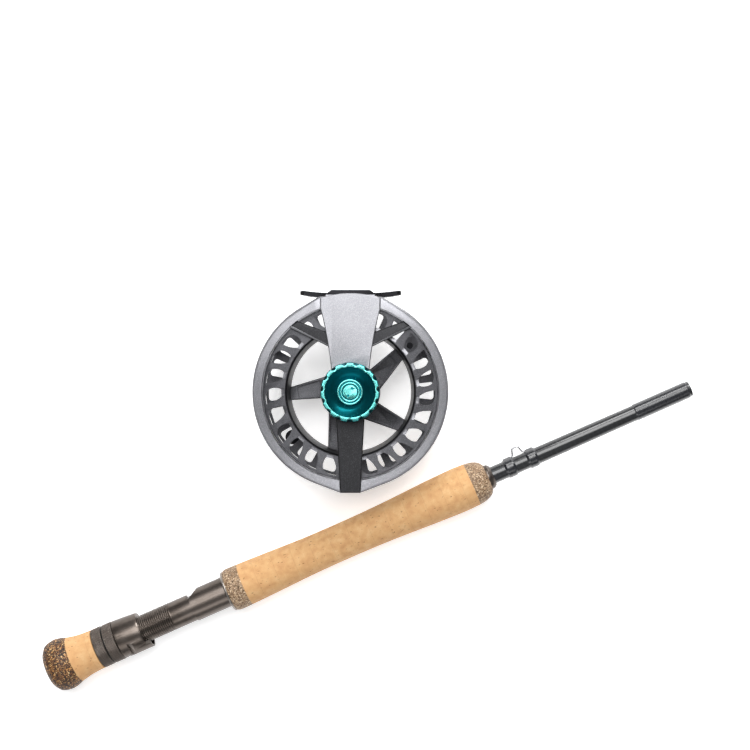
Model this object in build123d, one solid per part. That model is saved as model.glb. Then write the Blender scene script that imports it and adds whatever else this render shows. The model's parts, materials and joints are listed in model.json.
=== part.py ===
"""Butt section of a fly rod with its up-locking reel seat, and a large-arbor fly reel lying beside it.

Units are millimetres, +Z is up. The rod lies along +X. The reel lies level, drag knob up, handle down.
Rod pieces are drawn along their own Z, from the butt end, with +Y as the side that takes the reel.
Reel pieces are drawn about their own Z axis, with the foot towards +Y and the handle's end at Z = 0.
"""
from build123d import *
import math
import os

# ---- placing the two halves -------------------------------------------------------------------
ROD_HEIGHT = 16.45          # rod axis above the floor, the butt's largest radius
REEL_X = 244.2              # reel axis, along the rod from the butt end
REEL_Y = 84.2               # reel axis, sideways from the rod axis
REEL_TURN = -23.75          # turn of the reel about its own axis, degrees

# ---- rod: stations along the axis, from the butt end ------------------------------------------
BLANK_START = 8.0
CAP_END = 17.0
SEAT_START = 33.0
RING_START = 33.3
WASHER_START = 39.9
WASHER_END = 40.5
RING_END = 47.3
HOOD_START = 47.5
HOOD_END = 63.6
HOOD_NOSE = 66.6
THREAD_END = 85.0
POCKET_START = 97.0
FIXED_HOOD_START = 98.6
FIXED_HOOD_RAMP = 105.5
SEAT_END = 122.2
FLANGE_END = 123.6
REAR_TRIM_END = 134.0
GRIP_END = 290.0
FRONT_TRIM_END = 301.0
CHECK_END = 304.5
KEEPER_START = 316.0
KEEPER_END = 332.0
FERRULE_START = 402.0
ROD_END = 440.0

# ---- rod: radii ---------------------------------------------------------------------------------
BUTT_R = 16.45
BLANK_R = 5.4
BLANK_TIP_R = 4.9
BLANK_BORE_R = 3.5
FERRULE_BORE_R = 3.9
BARREL_BORE_R = 6.2
BARREL_R = 8.65
THREAD_R = 8.8
THREAD_ROOT_R = 8.35
THREAD_PITCH = 1.3
UNDER_HOOD_R = 8.3
LOCK_RING_R = 12.6
HOOD_REAR_R = 12.35
HOOD_FRONT_R = 11.15
SLIDE_GAP = 0.06            # radial clearance of the hood and rings over the thread
FIXED_HOOD_R = 9.25
FIXED_HOOD_BULGE = 1.3
POCKET_FLAT = 6.8
FLANGE_R = 13.0
REAR_TRIM_R = 13.55
GRIP_WAIST_R = 11.6
GRIP_FRONT_R = 14.0

# ---- reel: heights above the floor --------------------------------------------------------------
FRONT_RING_LOW = 20.0
FRONT_RING_TOP = 23.5
BACK_RING_LOW = 51.0
BACK_RING_TOP = 56.0
PLATE_LOW = 54.95
PLATE_TOP = 56.8
SPIDER_LOW = 50.9
SPIDER_TOP = 56.4
BRACE_TOP = 54.9
FLANGE_BACK_LOW = 48.6
FLANGE_BACK_TOP = 50.4
FLANGE_FRONT_LOW = 21.0
FLANGE_FRONT_TOP = 23.2
KNOB_LOW = 57.5
KNOB_TOP = 70.0
FOOT_MID = 38.0

# ---- reel: radii ---------------------------------------------------------------------------------
RING_R = 59.3
RING_BORE_R = 53.8
RING_CHAMFER = 1.1
CAGE_R = 58.6
CAGE_BORE_R = 54.0
SPOOL_R = 53.2
ARBOR_R = 39.9
ARBOR_BORE_BACK_R = 38.7
ARBOR_BORE_FRONT_R = 37.5
HUB_R = 17.0
SPOOL_HUB_R = 18.2
SPOOL_HUB_BORE_R = 16.3
HOUSING_R = 15.8
HOUSING_BORE_R = 14.2
SPINDLE_R = 2.5
RUN = 0.05                  # radial running clearance of shafts and sleeves
STEM_R = 4.0
KNOB_R = 17.9
KNOB_RIM_R = 17.3
DISH_R = 15.1
BOSS_R = 7.8
SCALLOPS = 15
SCALLOP_TURN = 5.5          # direction of the first scallop, degrees
BACK_PORTS = 25
BACK_PORT_TURN = 182.0      # direction of the middle of one port, degrees
FRONT_PORTS = 20
FRONT_PORT_TURN = 180.5
SPOKES = 5
SPOKE_TURN = 190.2          # direction of one spoke's middle line, degrees
SPOKE_OFFSET = -5.3         # how far that line passes to one side of the axis
HANDLE_TURN = 38.0
HANDLE_ORBIT = 46.5
HANDLE_BOSS_R = 5.2
HANDLE_BOSS_TOP = 25.2
HANDLE_PIN_R = 2.0
PILLAR_TURNS = (30, 150, 210, 270, 330)
FOOT_HALF = 31.0


# ---- small builders --------------------------------------------------------------------------------
def face_of(points):
    """Flat face inside a closed run of straight edges."""
    return make_face(Polyline(*points, close=True))


def slab(outline, low, top):
    """Sheet with the outline of a flat face, from one height to another."""
    return Pos(0, 0, low) * extrude(outline, top - low)


def turned(profile):
    """Solid of revolution about Z from (radius, height) points."""
    section = face_of([(radius, 0, height) for radius, height in profile])
    return revolve(section, Axis.Z)


def tube(outer, inner, low, top):
    """Plain ring or sleeve about Z."""
    return turned([(inner, low), (outer, low), (outer, top), (inner, top)])


def disc(radius, low, top):
    """Plain round about Z."""
    return Pos(0, 0, (low + top) / 2) * Cylinder(radius, top - low)


def at_turn(radius, degrees):
    """Point at a radius and direction about Z."""
    angle = math.radians(degrees)
    return (radius * math.cos(angle), radius * math.sin(angle))


def on_top(solid):
    """Edges round the highest flat face."""
    return solid.faces().sort_by(Axis.Z)[-1].edges()


def curved(profile, steps):
    """Points of a spline through (radius, height) stations, for a turned profile."""
    line = Spline(*[(radius, height) for radius, height in profile])
    return [(point.X, point.Y) for point in (line @ (i / steps) for i in range(steps + 1))]


# ---- rod: butt ---------------------------------------------------------------------------------------
def butt_cap():
    """Rounded fighting butt of rubberised burl cork, blind-bored for the blank."""
    flare = curved([(12.4, 0.9), (15.3, 3.6), (BUTT_R, 9.0), (15.9, 13.0), (14.55, CAP_END)], 10)
    return turned([(0, 0), (10.6, 0)] + flare + [(BLANK_R, CAP_END), (BLANK_R, BLANK_START), (0, BLANK_START)])


def butt_cork():
    """Plain cork ring between the cap and the seat."""
    flare = curved([(14.55, CAP_END), (13.45, 22.0), (12.8, 27.5), (12.55, SEAT_START)], 6)
    return turned([(BLANK_R, CAP_END)] + flare + [(BLANK_R, SEAT_START)])


def rod_blank():
    """Hollow tapered rod tube from the butt to the open ferrule end."""
    outside = [(BLANK_R, BLANK_START), (BLANK_R, FRONT_TRIM_END),
               (BLANK_TIP_R, FERRULE_START), (BLANK_TIP_R, ROD_END)]
    inside = [(FERRULE_BORE_R, ROD_END), (FERRULE_BORE_R, FERRULE_START), (BLANK_BORE_R, FERRULE_START),
              (BLANK_BORE_R, BLANK_START)]
    return turned(outside + inside)


# ---- rod: reel seat ----------------------------------------------------------------------------------
def thread_profile():
    """Zigzag of the thread's crests and roots, from the seat's rear end."""
    points = []
    turns = int((THREAD_END - SEAT_START) / THREAD_PITCH)
    for i in range(turns):
        start = SEAT_START + i * THREAD_PITCH
        points += [(THREAD_ROOT_R, start), (THREAD_R, start + THREAD_PITCH * 0.35),
                   (THREAD_R, start + THREAD_PITCH * 0.65)]
    return points + [(THREAD_ROOT_R, SEAT_START + turns * THREAD_PITCH)]


def seat_barrel():
    """Threaded seat tube with the flat for the foot's front end."""
    outside = thread_profile() + [(BARREL_R, THREAD_END), (BARREL_R, FIXED_HOOD_START),
                                  (UNDER_HOOD_R, FIXED_HOOD_START), (UNDER_HOOD_R, SEAT_END)]
    barrel = turned(outside + [(BARREL_BORE_R, SEAT_END), (BARREL_BORE_R, SEAT_START)])
    flat_length = SEAT_END - POCKET_START
    relief = Pos(0, POCKET_FLAT + 5, POCKET_START + flat_length / 2) * Box(30, 10, flat_length)
    return barrel - relief


def seat_arbors():
    """Three shims that centre the seat tube on the blank."""
    gap = (SEAT_END - SEAT_START) / 3
    return [tube(BARREL_BORE_R, BLANK_R, SEAT_START + gap * i + 6, SEAT_START + gap * i + gap - 6) for i in range(3)]


def fixed_hood():
    """Front hood: a sleeve with a raised pocket for the foot's front end and a ramped mouth."""
    length = SEAT_END - FIXED_HOOD_START
    middle = FIXED_HOOD_START + length / 2
    shell = disc(FIXED_HOOD_R, FIXED_HOOD_START, SEAT_END)
    shell += Pos(0, FIXED_HOOD_BULGE, middle) * Cylinder(FIXED_HOOD_R - 0.35, length)
    shell -= disc(UNDER_HOOD_R, FIXED_HOOD_START - 1, SEAT_END + 1)
    pocket = Pos(0, FIXED_HOOD_BULGE, middle - 2) * Cylinder(UNDER_HOOD_R - 0.15, length)
    pocket &= Pos(0, POCKET_FLAT + 5, middle - 2) * Box(11.4, 10, length)
    ramp = [(0, POCKET_FLAT, FIXED_HOOD_START - 1), (0, POCKET_FLAT, FIXED_HOOD_START + 0.4),
            (0, 10.4, FIXED_HOOD_RAMP), (0, 12, FIXED_HOOD_RAMP), (0, 12, FIXED_HOOD_START - 1)]
    wedge = extrude(face_of(ramp), 12, both=True)
    return shell - pocket - wedge


def sliding_hood():
    """Rear hood: a tapered sleeve with a nose on the side away from the reel and a pocket under it."""
    bore = THREAD_R + SLIDE_GAP
    profile = [(bore, HOOD_START), (HOOD_REAR_R - 0.3, HOOD_START), (HOOD_REAR_R, HOOD_START + 0.4),
               (11.95, 55.5), (HOOD_FRONT_R + 0.25, HOOD_END - 1.0), (HOOD_FRONT_R - 0.1, HOOD_END), (bore, HOOD_END)]
    hood = turned(profile)
    nose_start = 51.0
    nose_length = HOOD_NOSE - nose_start
    nose = Pos(0, -2.6, nose_start + nose_length / 2) * Cylinder(10.0, nose_length)
    nose &= Pos(0, -14, nose_start + nose_length / 2) * Box(15, 14, nose_length)
    nose -= disc(bore, HOOD_START - 1, HOOD_NOSE + 1)
    hood += nose
    pocket = Pos(0, -2.6, 61.0) * Cylinder(8.9, 13.0)
    pocket &= Pos(0, -12, 61.0) * Box(11.4, 12, 13.0)
    hood -= pocket
    for side in (-1, 1):
        facet = Pos(side * 11.4, -11.4, 63.0) * Rot(0, 0, side * 45) * Rot(14, 0, 0) * Box(30, 6, 22)
        hood -= facet
    return hood


def lock_ring(start, end, radius):
    """Knurled ring threaded on the barrel, with small end chamfers."""
    bore = THREAD_R + SLIDE_GAP
    edge = 0.35
    return turned([(bore, start), (radius - edge, start), (radius, start + edge), (radius, end - edge),
                   (radius - edge, end), (bore, end)])


def seat_flange():
    """Thin bright washer between the seat and the grip."""
    middle = (SEAT_END + FLANGE_END) / 2
    return turned([(BLANK_R, SEAT_END), (FLANGE_R - 0.4, SEAT_END), (FLANGE_R, middle), (FLANGE_R - 0.4, FLANGE_END),
                   (BLANK_R, FLANGE_END)])


# ---- rod: grip and blank fittings --------------------------------------------------------------------
def rear_trim():
    """Burl cork ring at the rear of the grip."""
    edge = curved([(12.75, FLANGE_END), (REAR_TRIM_R, 126.0), (REAR_TRIM_R, 131.0), (13.45, REAR_TRIM_END)], 6)
    return turned([(BLANK_R, FLANGE_END)] + edge + [(BLANK_R, REAR_TRIM_END)])


def grip_cork():
    """Full-wells cork grip: a swell at each end and a waist between."""
    stations = [(13.45, REAR_TRIM_END), (12.9, 150), (GRIP_WAIST_R, 185), (11.8, 225), (13.4, 262),
                (GRIP_FRONT_R, 280), (13.75, GRIP_END)]
    return turned([(BLANK_R, REAR_TRIM_END)] + curved(stations, 28) + [(BLANK_R, GRIP_END)])


def front_trim():
    """Burl cork ring that rounds off the grip's front."""
    edge = curved([(13.75, GRIP_END), (12.9, 295.0), (10.9, 299.2), (8.4, FRONT_TRIM_END)], 8)
    return turned([(BLANK_R, GRIP_END)] + edge + [(BLANK_R, FRONT_TRIM_END)])


def winding_check():
    """Turned aluminium ring that closes the front of the grip."""
    bore = BLANK_R
    return turned([(bore, FRONT_TRIM_END), (7.9, FRONT_TRIM_END), (7.9, 302.2), (7.2, 303.4), (6.2, CHECK_END),
                   (bore, CHECK_END)])


def blank_radius(station):
    """Outside radius of the blank in front of the grip."""
    share = (station - FRONT_TRIM_END) / (FERRULE_START - FRONT_TRIM_END)
    return BLANK_R + (BLANK_TIP_R - BLANK_R) * min(max(share, 0.0), 1.0)


def keeper_wrap(start, end):
    """Wrapping over one foot of the hook keeper, moulded round the wire."""
    return wrap(start, end, 0.7) - hook_keeper()


def wrap(start, end, height):
    """Thread wrapping with tapered ends that hugs the tapered blank."""
    return turned([(blank_radius(start), start), (blank_radius(start) + height, start + height * 2),
                   (blank_radius(end) + height, end - height * 2), (blank_radius(end), end)])


def hook_keeper():
    """Bent wire loop that stands on the blank beside the winding check."""
    wire = 0.55
    base = blank_radius(KEEPER_START) + wire + 0.02
    path = FilletPolyline((0, base, KEEPER_START + 0.6), (0, base, KEEPER_START + 4.6),
                          (0, base + 4.6, KEEPER_START + 6.0), (0, base + 4.6, KEEPER_END - 6.0),
                          (0, base, KEEPER_END - 4.6), (0, base, KEEPER_END - 0.6), radius=1.4)
    return sweep(Plane(path @ 0, z_dir=path % 0) * Circle(wire), path=path)


# ---- reel: frame -------------------------------------------------------------------------------------
ARM_CORNER = (18.1, 56.8)
ARM_CHIN = (18.1, 50.3)
LOW_ARM_HALF = 6.15
LOW_ARM_END = -61.05
SHOULDER = (19.2, 57.6)


def shouldered(radius, reach):
    """Round outline with straight shoulders that run tangent to the foot's and the lower arm's corners."""
    outline = Circle(radius)
    for half, height in ((SHOULDER[0], SHOULDER[1] + reach), (LOW_ARM_HALF, LOW_ARM_END - reach)):
        side = math.copysign(1, height)
        corner = math.atan2(abs(height), half)
        touch = corner - math.acos(radius / math.hypot(half, height))
        x, y = radius * math.cos(touch), side * radius * math.sin(touch)
        outline += face_of([(0, 0), (x, y), (half, height), (-half, height), (-x, y)])
    return outline


def arm_outline(grow):
    """Outline of the upper arm's plate: arched over the ring, waisted towards the hub."""
    half = ARM_CORNER[0] + grow
    left, right = (-half, ARM_CORNER[1] + grow), (half, ARM_CORNER[1] + grow)
    arch = ThreePointArc(left, (0, 59.7 + grow), right)
    right_wall = Line(right, (half, ARM_CHIN[1]))
    right_waist = ThreePointArc((half, ARM_CHIN[1]), (14.4 + grow, 33.8), (11.4 + grow, 12.0))
    foot_line = Line((11.4 + grow, 12.0), (-11.4 - grow, 12.0))
    left_waist = ThreePointArc((-11.4 - grow, 12.0), (-14.4 - grow, 33.8), (-half, ARM_CHIN[1]))
    left_wall = Line((-half, ARM_CHIN[1]), left)
    return make_face([arch, right_wall, right_waist, foot_line, left_waist, left_wall])


def low_arm_outline(grow):
    """Outline of the lower arm, narrowing from the hub to its flat end."""
    end = LOW_ARM_END - grow
    return face_of([(-9.2 - grow, -8), (-8.5 - grow, -18), (-LOW_ARM_HALF - grow, -59.5), (-LOW_ARM_HALF - grow, end),
                    (LOW_ARM_HALF + grow, end), (LOW_ARM_HALF + grow, -59.5), (8.5 + grow, -18), (9.2 + grow, -8)])


def reel_frame():
    """Back ring with straight shoulders, recessed for the two arms, with a fine groove round its top face."""
    ring = slab(shouldered(RING_R, 0.0), BACK_RING_LOW, BACK_RING_TOP)
    ring = chamfer(on_top(ring), RING_CHAMFER)
    edge = RING_R - RING_CHAMFER
    groove = shouldered(edge - 0.1, -RING_CHAMFER) - shouldered(edge - 0.5, -RING_CHAMFER)
    ring -= slab(groove, BACK_RING_TOP - 0.3, BACK_RING_TOP + 1)
    ring -= disc(RING_BORE_R, BACK_RING_LOW - 1, BACK_RING_TOP + 1)
    ring -= slab(arm_outline(0.35), PLATE_LOW - 0.05, PLATE_TOP + 1)
    return ring - slab(low_arm_outline(0.3), 52.5, SPIDER_TOP + 1)


def cage_ring():
    """Front ring of the cage, chamfered underneath."""
    ring = disc(CAGE_R, FRONT_RING_LOW, FRONT_RING_TOP)
    ring = chamfer(ring.faces().sort_by(Axis.Z)[0].edges(), 0.8)
    return ring - disc(CAGE_BORE_R, FRONT_RING_LOW - 1, FRONT_RING_TOP + 1)


def cage_pillars():
    """Five flat pillars that join the cage's two rings."""
    middle = (FRONT_RING_TOP + BACK_RING_LOW) / 2
    height = BACK_RING_LOW - FRONT_RING_TOP
    return [Rot(0, 0, turn) * Pos(56.1, 0, middle) * Box(3.4, 9.0, height) for turn in PILLAR_TURNS]


def foot_block():
    """Block between the cage's rings, tapped for the foot's screws."""
    block = Pos(0, 56.8, (FRONT_RING_TOP + BACK_RING_LOW) / 2) * Box(30, 4.6, BACK_RING_LOW - FRONT_RING_TOP)
    for x in (-8.5, 8.5):
        block -= Pos(x, 57, FOOT_MID) * Rot(90, 0, 0) * Cylinder(1.5, 8)
    return block


def top_arm():
    """Plate of the upper arm, lying over the back ring and ending under the knob."""
    plate = slab(arm_outline(0.0), PLATE_LOW, PLATE_TOP) - disc(HUB_R + 0.15, PLATE_LOW - 1, PLATE_TOP + 1)
    return chamfer(on_top(plate), 0.45)


def brace(side):
    """Diagonal bar from the middle of the upper arm to the ring."""
    return slab(face_of([(0, 21.0), (side * 37.5, 39.3), (side * 44, 42.5), (side * 40, 45.9), (side * 31.5, 42.7),
                         (0, 31.0)]), SPIDER_LOW, BRACE_TOP)


def hub_spider():
    """Hub with the lower arm, the bar under the upper arm and two diagonal braces."""
    braces = brace(1) + brace(-1)
    braces &= disc(RING_BORE_R, SPIDER_LOW, BRACE_TOP)
    braces = chamfer(on_top(braces), 0.7)
    upper = slab(arm_outline(-0.7), SPIDER_LOW, BRACE_TOP) & disc(RING_BORE_R, SPIDER_LOW, BRACE_TOP)
    lower = slab(low_arm_outline(0.0), 52.55, SPIDER_TOP)
    lower = chamfer(on_top(lower), 0.5)
    lower += slab(low_arm_outline(0.0), SPIDER_LOW, 53.0) & disc(RING_BORE_R, SPIDER_LOW, 53.0)
    spider = disc(HUB_R, SPIDER_LOW, SPIDER_TOP) + upper + braces + lower
    spider -= disc(STEM_R + RUN, SPIDER_LOW - 1, SPIDER_TOP + 1)
    spider -= disc(7.0, SPIDER_LOW - 1, 52.0)
    for turn in (90, 210, 330):
        x, y = at_turn(12.0, turn)
        spider -= Pos(x, y, 0) * (disc(1.25, SPIDER_LOW - 1, SPIDER_TOP) + disc(2.3, 54.6, SPIDER_TOP + 1))
    x, y = at_turn(9.2, 30)
    spider -= Pos(x, y, 0) * disc(1.1, 53.2, SPIDER_TOP + 1)
    return spider


def reel_foot():
    """Saddle with two thin upswept ends, hollowed along the top to sit on a round seat."""
    half = [(0, 59.1), (15.0, 59.1), (19.4, 58.0), (25.0, 58.5), (FOOT_HALF, 59.6), (FOOT_HALF, 61.9), (29.5, 62.0),
            (21.0, 61.0), (14.3, 60.5), (12.4, 61.9), (11.5, 62.3), (0, 62.3)]
    other = [(-x, y) for x, y in reversed(half[1:-1])]
    bar = Pos(0, 0, FOOT_MID - 8) * extrude(face_of(half + other), 16)
    plan = [(12, -7.5), (17, -5.6), (FOOT_HALF - 2.5, -4.6), (FOOT_HALF, -2.5)]
    plan += [(x, -z) for x, z in reversed(plan)]
    plan += [(-x, z) for x, z in reversed(plan)]
    keep = Pos(0, 70, FOOT_MID) * Rot(90, 0, 0) * extrude(face_of(plan), 20)
    foot = bar & keep
    foot -= Pos(0, 62.3 + 11.2, FOOT_MID) * Rot(0, 90, 0) * Cylinder(12.0, 80)
    for x in (-8.5, 8.5):
        foot -= Pos(x, 60, FOOT_MID) * Rot(90, 0, 0) * Cylinder(1.5, 8)
        foot -= Pos(x, 61.6, FOOT_MID) * Rot(90, 0, 0) * Cylinder(2.7, 2.0)
    return foot


def foot_screws():
    """Two flat-headed screws that hold the foot to the frame."""
    screws = []
    for x in (-8.5, 8.5):
        head = Pos(0, 0, 60.6) * (disc(2.6, 0, 0.5) - Pos(0, 0, 0.4) * Box(4.0, 0.7, 0.4))
        shank = disc(1.45, 54.9, 60.7)
        screws.append(Pos(x, 0, FOOT_MID) * Rot(-90, 0, 0) * (head + shank))
    return screws


# ---- reel: drag, from the knob down to the clutch ----------------------------------------------------
def spindle():
    """Steel spindle, the spool's axle, hanging from the web of the braking ring."""
    return disc(SPINDLE_R, 21.8, 44.6)


def drag_housing():
    """Cup screwed under the hub, with a seat for the braking cone."""
    cup = turned([(HOUSING_BORE_R, 29.0), (HOUSING_R - 0.5, 29.0), (HOUSING_R, 29.6), (HOUSING_R, SPIDER_LOW),
                  (7.0, SPIDER_LOW), (7.0, 48.9), (HOUSING_BORE_R, 48.9)])
    for turn in (90, 210, 330):
        x, y = at_turn(12.0, turn)
        cup -= Pos(x, y, 0) * disc(1.25, 48, SPIDER_LOW + 1)
    return cup


def housing_screws():
    """Three screws from the hub into the drag housing, hidden under the knob."""
    screws = []
    for turn in (90, 210, 330):
        x, y = at_turn(12.0, turn)
        screw = disc(1.2, 49.0, 54.7) + disc(2.2, 54.65, 56.2) - Pos(0, 0, 56.2) * Box(3.0, 0.6, 1.2)
        screws.append(Pos(x, y, 0) * screw)
    return screws


def housing_cap():
    """Ring that closes the open end of the drag housing."""
    return tube(HOUSING_BORE_R, 6.4, 29.0, 30.6)


def housing_seal():
    """Rubber ring in the mouth of the housing cap."""
    return Pos(0, 0, 31.4) * Torus(11.4, 0.75)


def brake_cone():
    """Braking ring keyed into the housing: an inner cone for the rotor and a web that holds the spindle."""
    return turned([(SPINDLE_R, 43.0), (8.2, 43.0), (12.3, 33.0), (HOUSING_BORE_R, 33.0), (HOUSING_BORE_R, 44.6),
                   (SPINDLE_R, 44.6)])


def disc_springs():
    """Two conical spring discs stacked face to face above the braking ring."""
    discs = []
    for i in range(2):
        low = 44.7 + i * 0.85
        inner, outer = (0.5, 0.0) if i % 2 == 0 else (0.0, 0.5)
        profile = [(7.2, low + inner), (11.5, low + outer), (11.5, low + outer + 0.3), (7.2, low + inner + 0.3)]
        discs.append(turned(profile))
    return discs


def pressure_nut():
    """Keyed nut that the knob's stem drives down onto the spring discs."""
    return turned([(STEM_R + RUN, 46.6), (12.5, 46.6), (12.5, 47.8), (6.8, 47.8), (6.8, 48.4), (STEM_R + RUN, 48.4)])


def rotor_cone():
    """Cone that turns with the spool's pull, carrying the one-way clutch in its bore."""
    return turned([(5.6, 32.6), (12.1, 33.2), (8.1, 42.8), (5.6, 42.8)])


def clutch_shell():
    """Pressed steel shell of the one-way clutch."""
    return tube(5.6, 4.95, 32.6, 42.0)


def clutch_rollers():
    """Needle rollers of the one-way clutch."""
    rollers = []
    for i in range(12):
        x, y = at_turn(4.3, i * 30)
        rollers.append(Pos(x, y, 0) * disc(0.6, 33.2, 41.4))
    return rollers


def clutch_hub():
    """Sleeve inside the clutch, with the hexagon that drives the spool."""
    sleeve = disc(3.64, 30.0, 42.4)
    hexagon = slab(RegularPolygon(5.6, 6), 24.2, 30.4)
    return sleeve + hexagon - disc(SPINDLE_R + RUN, 20, 50)


def drag_knob():
    """Dished knob with scalloped rim, raised boss and the stem that reaches into the hub."""
    flank = [(0, 44.9), (STEM_R, 44.9), (STEM_R, KNOB_LOW), (KNOB_R - 0.6, KNOB_LOW), (KNOB_R, 58.1), (KNOB_R, 60.6),
             (KNOB_R - 0.15, 60.8), (KNOB_R - 0.15, 68.9), (KNOB_RIM_R, KNOB_TOP)]
    bowl = curved([(DISH_R, KNOB_TOP), (13.3, 67.6), (11.2, 65.7), (9.3, 64.5), (BOSS_R, 63.8)], 10)
    boss = [(BOSS_R, 66.8), (6.75, 67.2), (6.55, 66.2), (6.2, 66.2), (6.05, 67.0), (5.4, 67.0), (5.2, 66.4),
            (4.5, 66.4), (4.5, 63.2), (0, 63.2)]
    knob = turned(flank + bowl + boss)
    for i in range(SCALLOPS):
        x, y = at_turn(19.0, SCALLOP_TURN + i * 360 / SCALLOPS)
        knob -= Pos(x, y, 0) * disc(2.9, 60.8, KNOB_TOP + 1)
    return knob


def knob_cap():
    """Small disc with two spanner holes that closes the boss."""
    cap = disc(4.45, 63.2, 66.8)
    cap = chamfer(on_top(cap), 0.25)
    for x, y in ((1.2, 2.15), (-1.2, -2.15)):
        cap -= Pos(x, y, 0) * disc(0.75, 65.8, 67)
    return cap


def knob_clip():
    """Spring clip on the stem's end that keeps the knob in the hub."""
    return tube(6.4, STEM_R, 49.2, 50.1)


def click_ball():
    """Steel ball that the knob clicks over."""
    x, y = at_turn(9.2, 30)
    return Pos(x, y, 56.3) * Sphere(1.0)


def click_spring():
    """Coil under the click ball."""
    x, y = at_turn(9.2, 30)
    return Pos(x, y, 0) * tube(0.95, 0.45, 53.2, 55.3)


# ---- reel: spool and handle --------------------------------------------------------------------------
def port_ring(count, first, low, top, outline, kept_turn=None):
    """Ring of equal cutters, but for one at a direction that is kept solid."""
    cutter = slab(face_of(outline), low, top)
    cutters = []
    for i in range(count):
        turn = first + i * 360 / count
        if kept_turn is None or abs((turn - kept_turn + 180) % 360 - 180) > 180 / count:
            cutters.append(Rot(0, 0, turn) * cutter)
    return cutters


BACK_PORT = [(42.2, -3.1), (43.4, -3.65), (45.0, -3.95), (47.0, -3.95), (48.8, -3.5), (50.1, -2.6), (51.0, -1.3),
             (51.5, 0.4), (51.6, 2.2), (51.3, 5.8), (48.4, 4.85), (45.6, 3.75), (43.6, 2.5), (42.1, 1.3)]
BACK_NECK = [(40.3, -3.4), (42.3, -3.1), (42.25, 1.35), (40.3, 0.6)]
FRONT_PORT = [(40.9, -3.9), (42.0, -4.5), (49.8, -5.4), (51.0, -4.9), (51.5, -3.6), (51.5, 3.6), (51.0, 4.9),
              (49.8, 5.4), (42.0, 4.5), (40.9, 3.9)]


def spool_arbor():
    """Thin-walled arbor, its bore a little wider at the back and coned at the back edge."""
    return turned([(ARBOR_BORE_FRONT_R, FLANGE_FRONT_LOW), (ARBOR_R, FLANGE_FRONT_LOW), (ARBOR_R, FLANGE_BACK_TOP),
                   (ARBOR_R - 0.2, FLANGE_BACK_TOP), (ARBOR_BORE_BACK_R, FLANGE_BACK_TOP - 1.6)])


def spool_back_flange():
    """Flange at the knob's side: leaning ports cut through, each with a shallow pocket towards the arbor."""
    flange = turned([(ARBOR_R, 47.0), (ARBOR_R + 0.6, FLANGE_BACK_LOW - 0.2), (SPOOL_R, FLANGE_BACK_LOW),
                     (SPOOL_R, FLANGE_BACK_TOP - 0.3), (SPOOL_R - 0.4, FLANGE_BACK_TOP), (ARBOR_R, FLANGE_BACK_TOP)])
    low, top = FLANGE_BACK_LOW - 0.7, FLANGE_BACK_TOP + 1
    flange -= port_ring(BACK_PORTS, BACK_PORT_TURN, low, top, BACK_PORT)
    return flange - port_ring(BACK_PORTS, BACK_PORT_TURN, FLANGE_BACK_TOP - 1.0, top, BACK_NECK)


def spool_front_flange():
    """Ported flange at the handle's side, with the boss that the handle's post is riveted into."""
    flange = turned([(ARBOR_R, FLANGE_FRONT_LOW), (SPOOL_R - 0.5, FLANGE_FRONT_LOW), (SPOOL_R, 21.6),
                     (SPOOL_R, FLANGE_FRONT_TOP), (ARBOR_R + 0.6, FLANGE_FRONT_TOP + 0.4), (ARBOR_R, 25.0)])
    low, top = FLANGE_FRONT_LOW - 1, FLANGE_FRONT_TOP + 0.8
    flange -= port_ring(FRONT_PORTS, FRONT_PORT_TURN, low, top, FRONT_PORT, HANDLE_TURN)
    x, y = at_turn(HANDLE_ORBIT, HANDLE_TURN)
    boss = disc(HANDLE_BOSS_R, FLANGE_FRONT_LOW, HANDLE_BOSS_TOP)
    return flange + Pos(x, y, 0) * boss - Pos(x, y, 0) * disc(HANDLE_PIN_R, 15, 30)


def spool_hub():
    """Hub sleeve over the drag housing, closed by a plate with the driver's hexagon."""
    hub = tube(SPOOL_HUB_R, SPOOL_HUB_BORE_R, FLANGE_FRONT_LOW, 44.0)
    hub += slab(Circle(17), FLANGE_FRONT_LOW, 27.6)
    return hub - slab(RegularPolygon(5.66, 6), FLANGE_FRONT_LOW, 28)


def spool_spokes():
    """Five pocketed bars from the hub's sleeve to the arbor, each with its middle line passing beside the axis."""
    low, top = FLANGE_FRONT_LOW, 26.6
    bar = slab(face_of([(13, -6.9), (38.3, -3.95), (38.3, 3.95), (13, 6.9)]), low, top)
    bar = chamfer(on_top(bar), 0.4)
    bar -= slab(face_of([(18, -5.0), (32.6, -3.2), (32.6, 3.2), (18, 5.0)]), top - 1.8, top + 1)
    bar = Pos(0, SPOKE_OFFSET, 0) * bar - disc(SPOOL_HUB_R, low - 1, top + 1) - spool_arbor()
    return [Rot(0, 0, SPOKE_TURN + i * 360 / SPOKES) * bar for i in range(SPOKES)]


def spool_cap():
    """Front cap pressed over the spool's hub."""
    return turned([(0, 18.6), (12.0, 18.6), (14.0, 19.6), (14.6, FLANGE_FRONT_LOW), (0, FLANGE_FRONT_LOW)])


def retention_ring():
    """Rubber ring round the spindle's end that holds the spool on."""
    return tube(4.7, SPINDLE_R + RUN, 22.2, 23.8)


def counterweight():
    """Round weight under the front flange, opposite the handle."""
    x, y = at_turn(HANDLE_ORBIT, HANDLE_TURN + 180)
    weight = disc(4.6, 15.6, FLANGE_FRONT_LOW)
    weight = chamfer(weight.faces().sort_by(Axis.Z)[0].edges(), 0.8)
    return Pos(x, y, 0) * weight


def handle_pin():
    """Shouldered post riveted through the front flange."""
    x, y = at_turn(HANDLE_ORBIT, HANDLE_TURN)
    return Pos(x, y, 0) * (disc(HANDLE_PIN_R, 1.9, 25.2) + disc(3.4, 19.9, FLANGE_FRONT_LOW))


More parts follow.
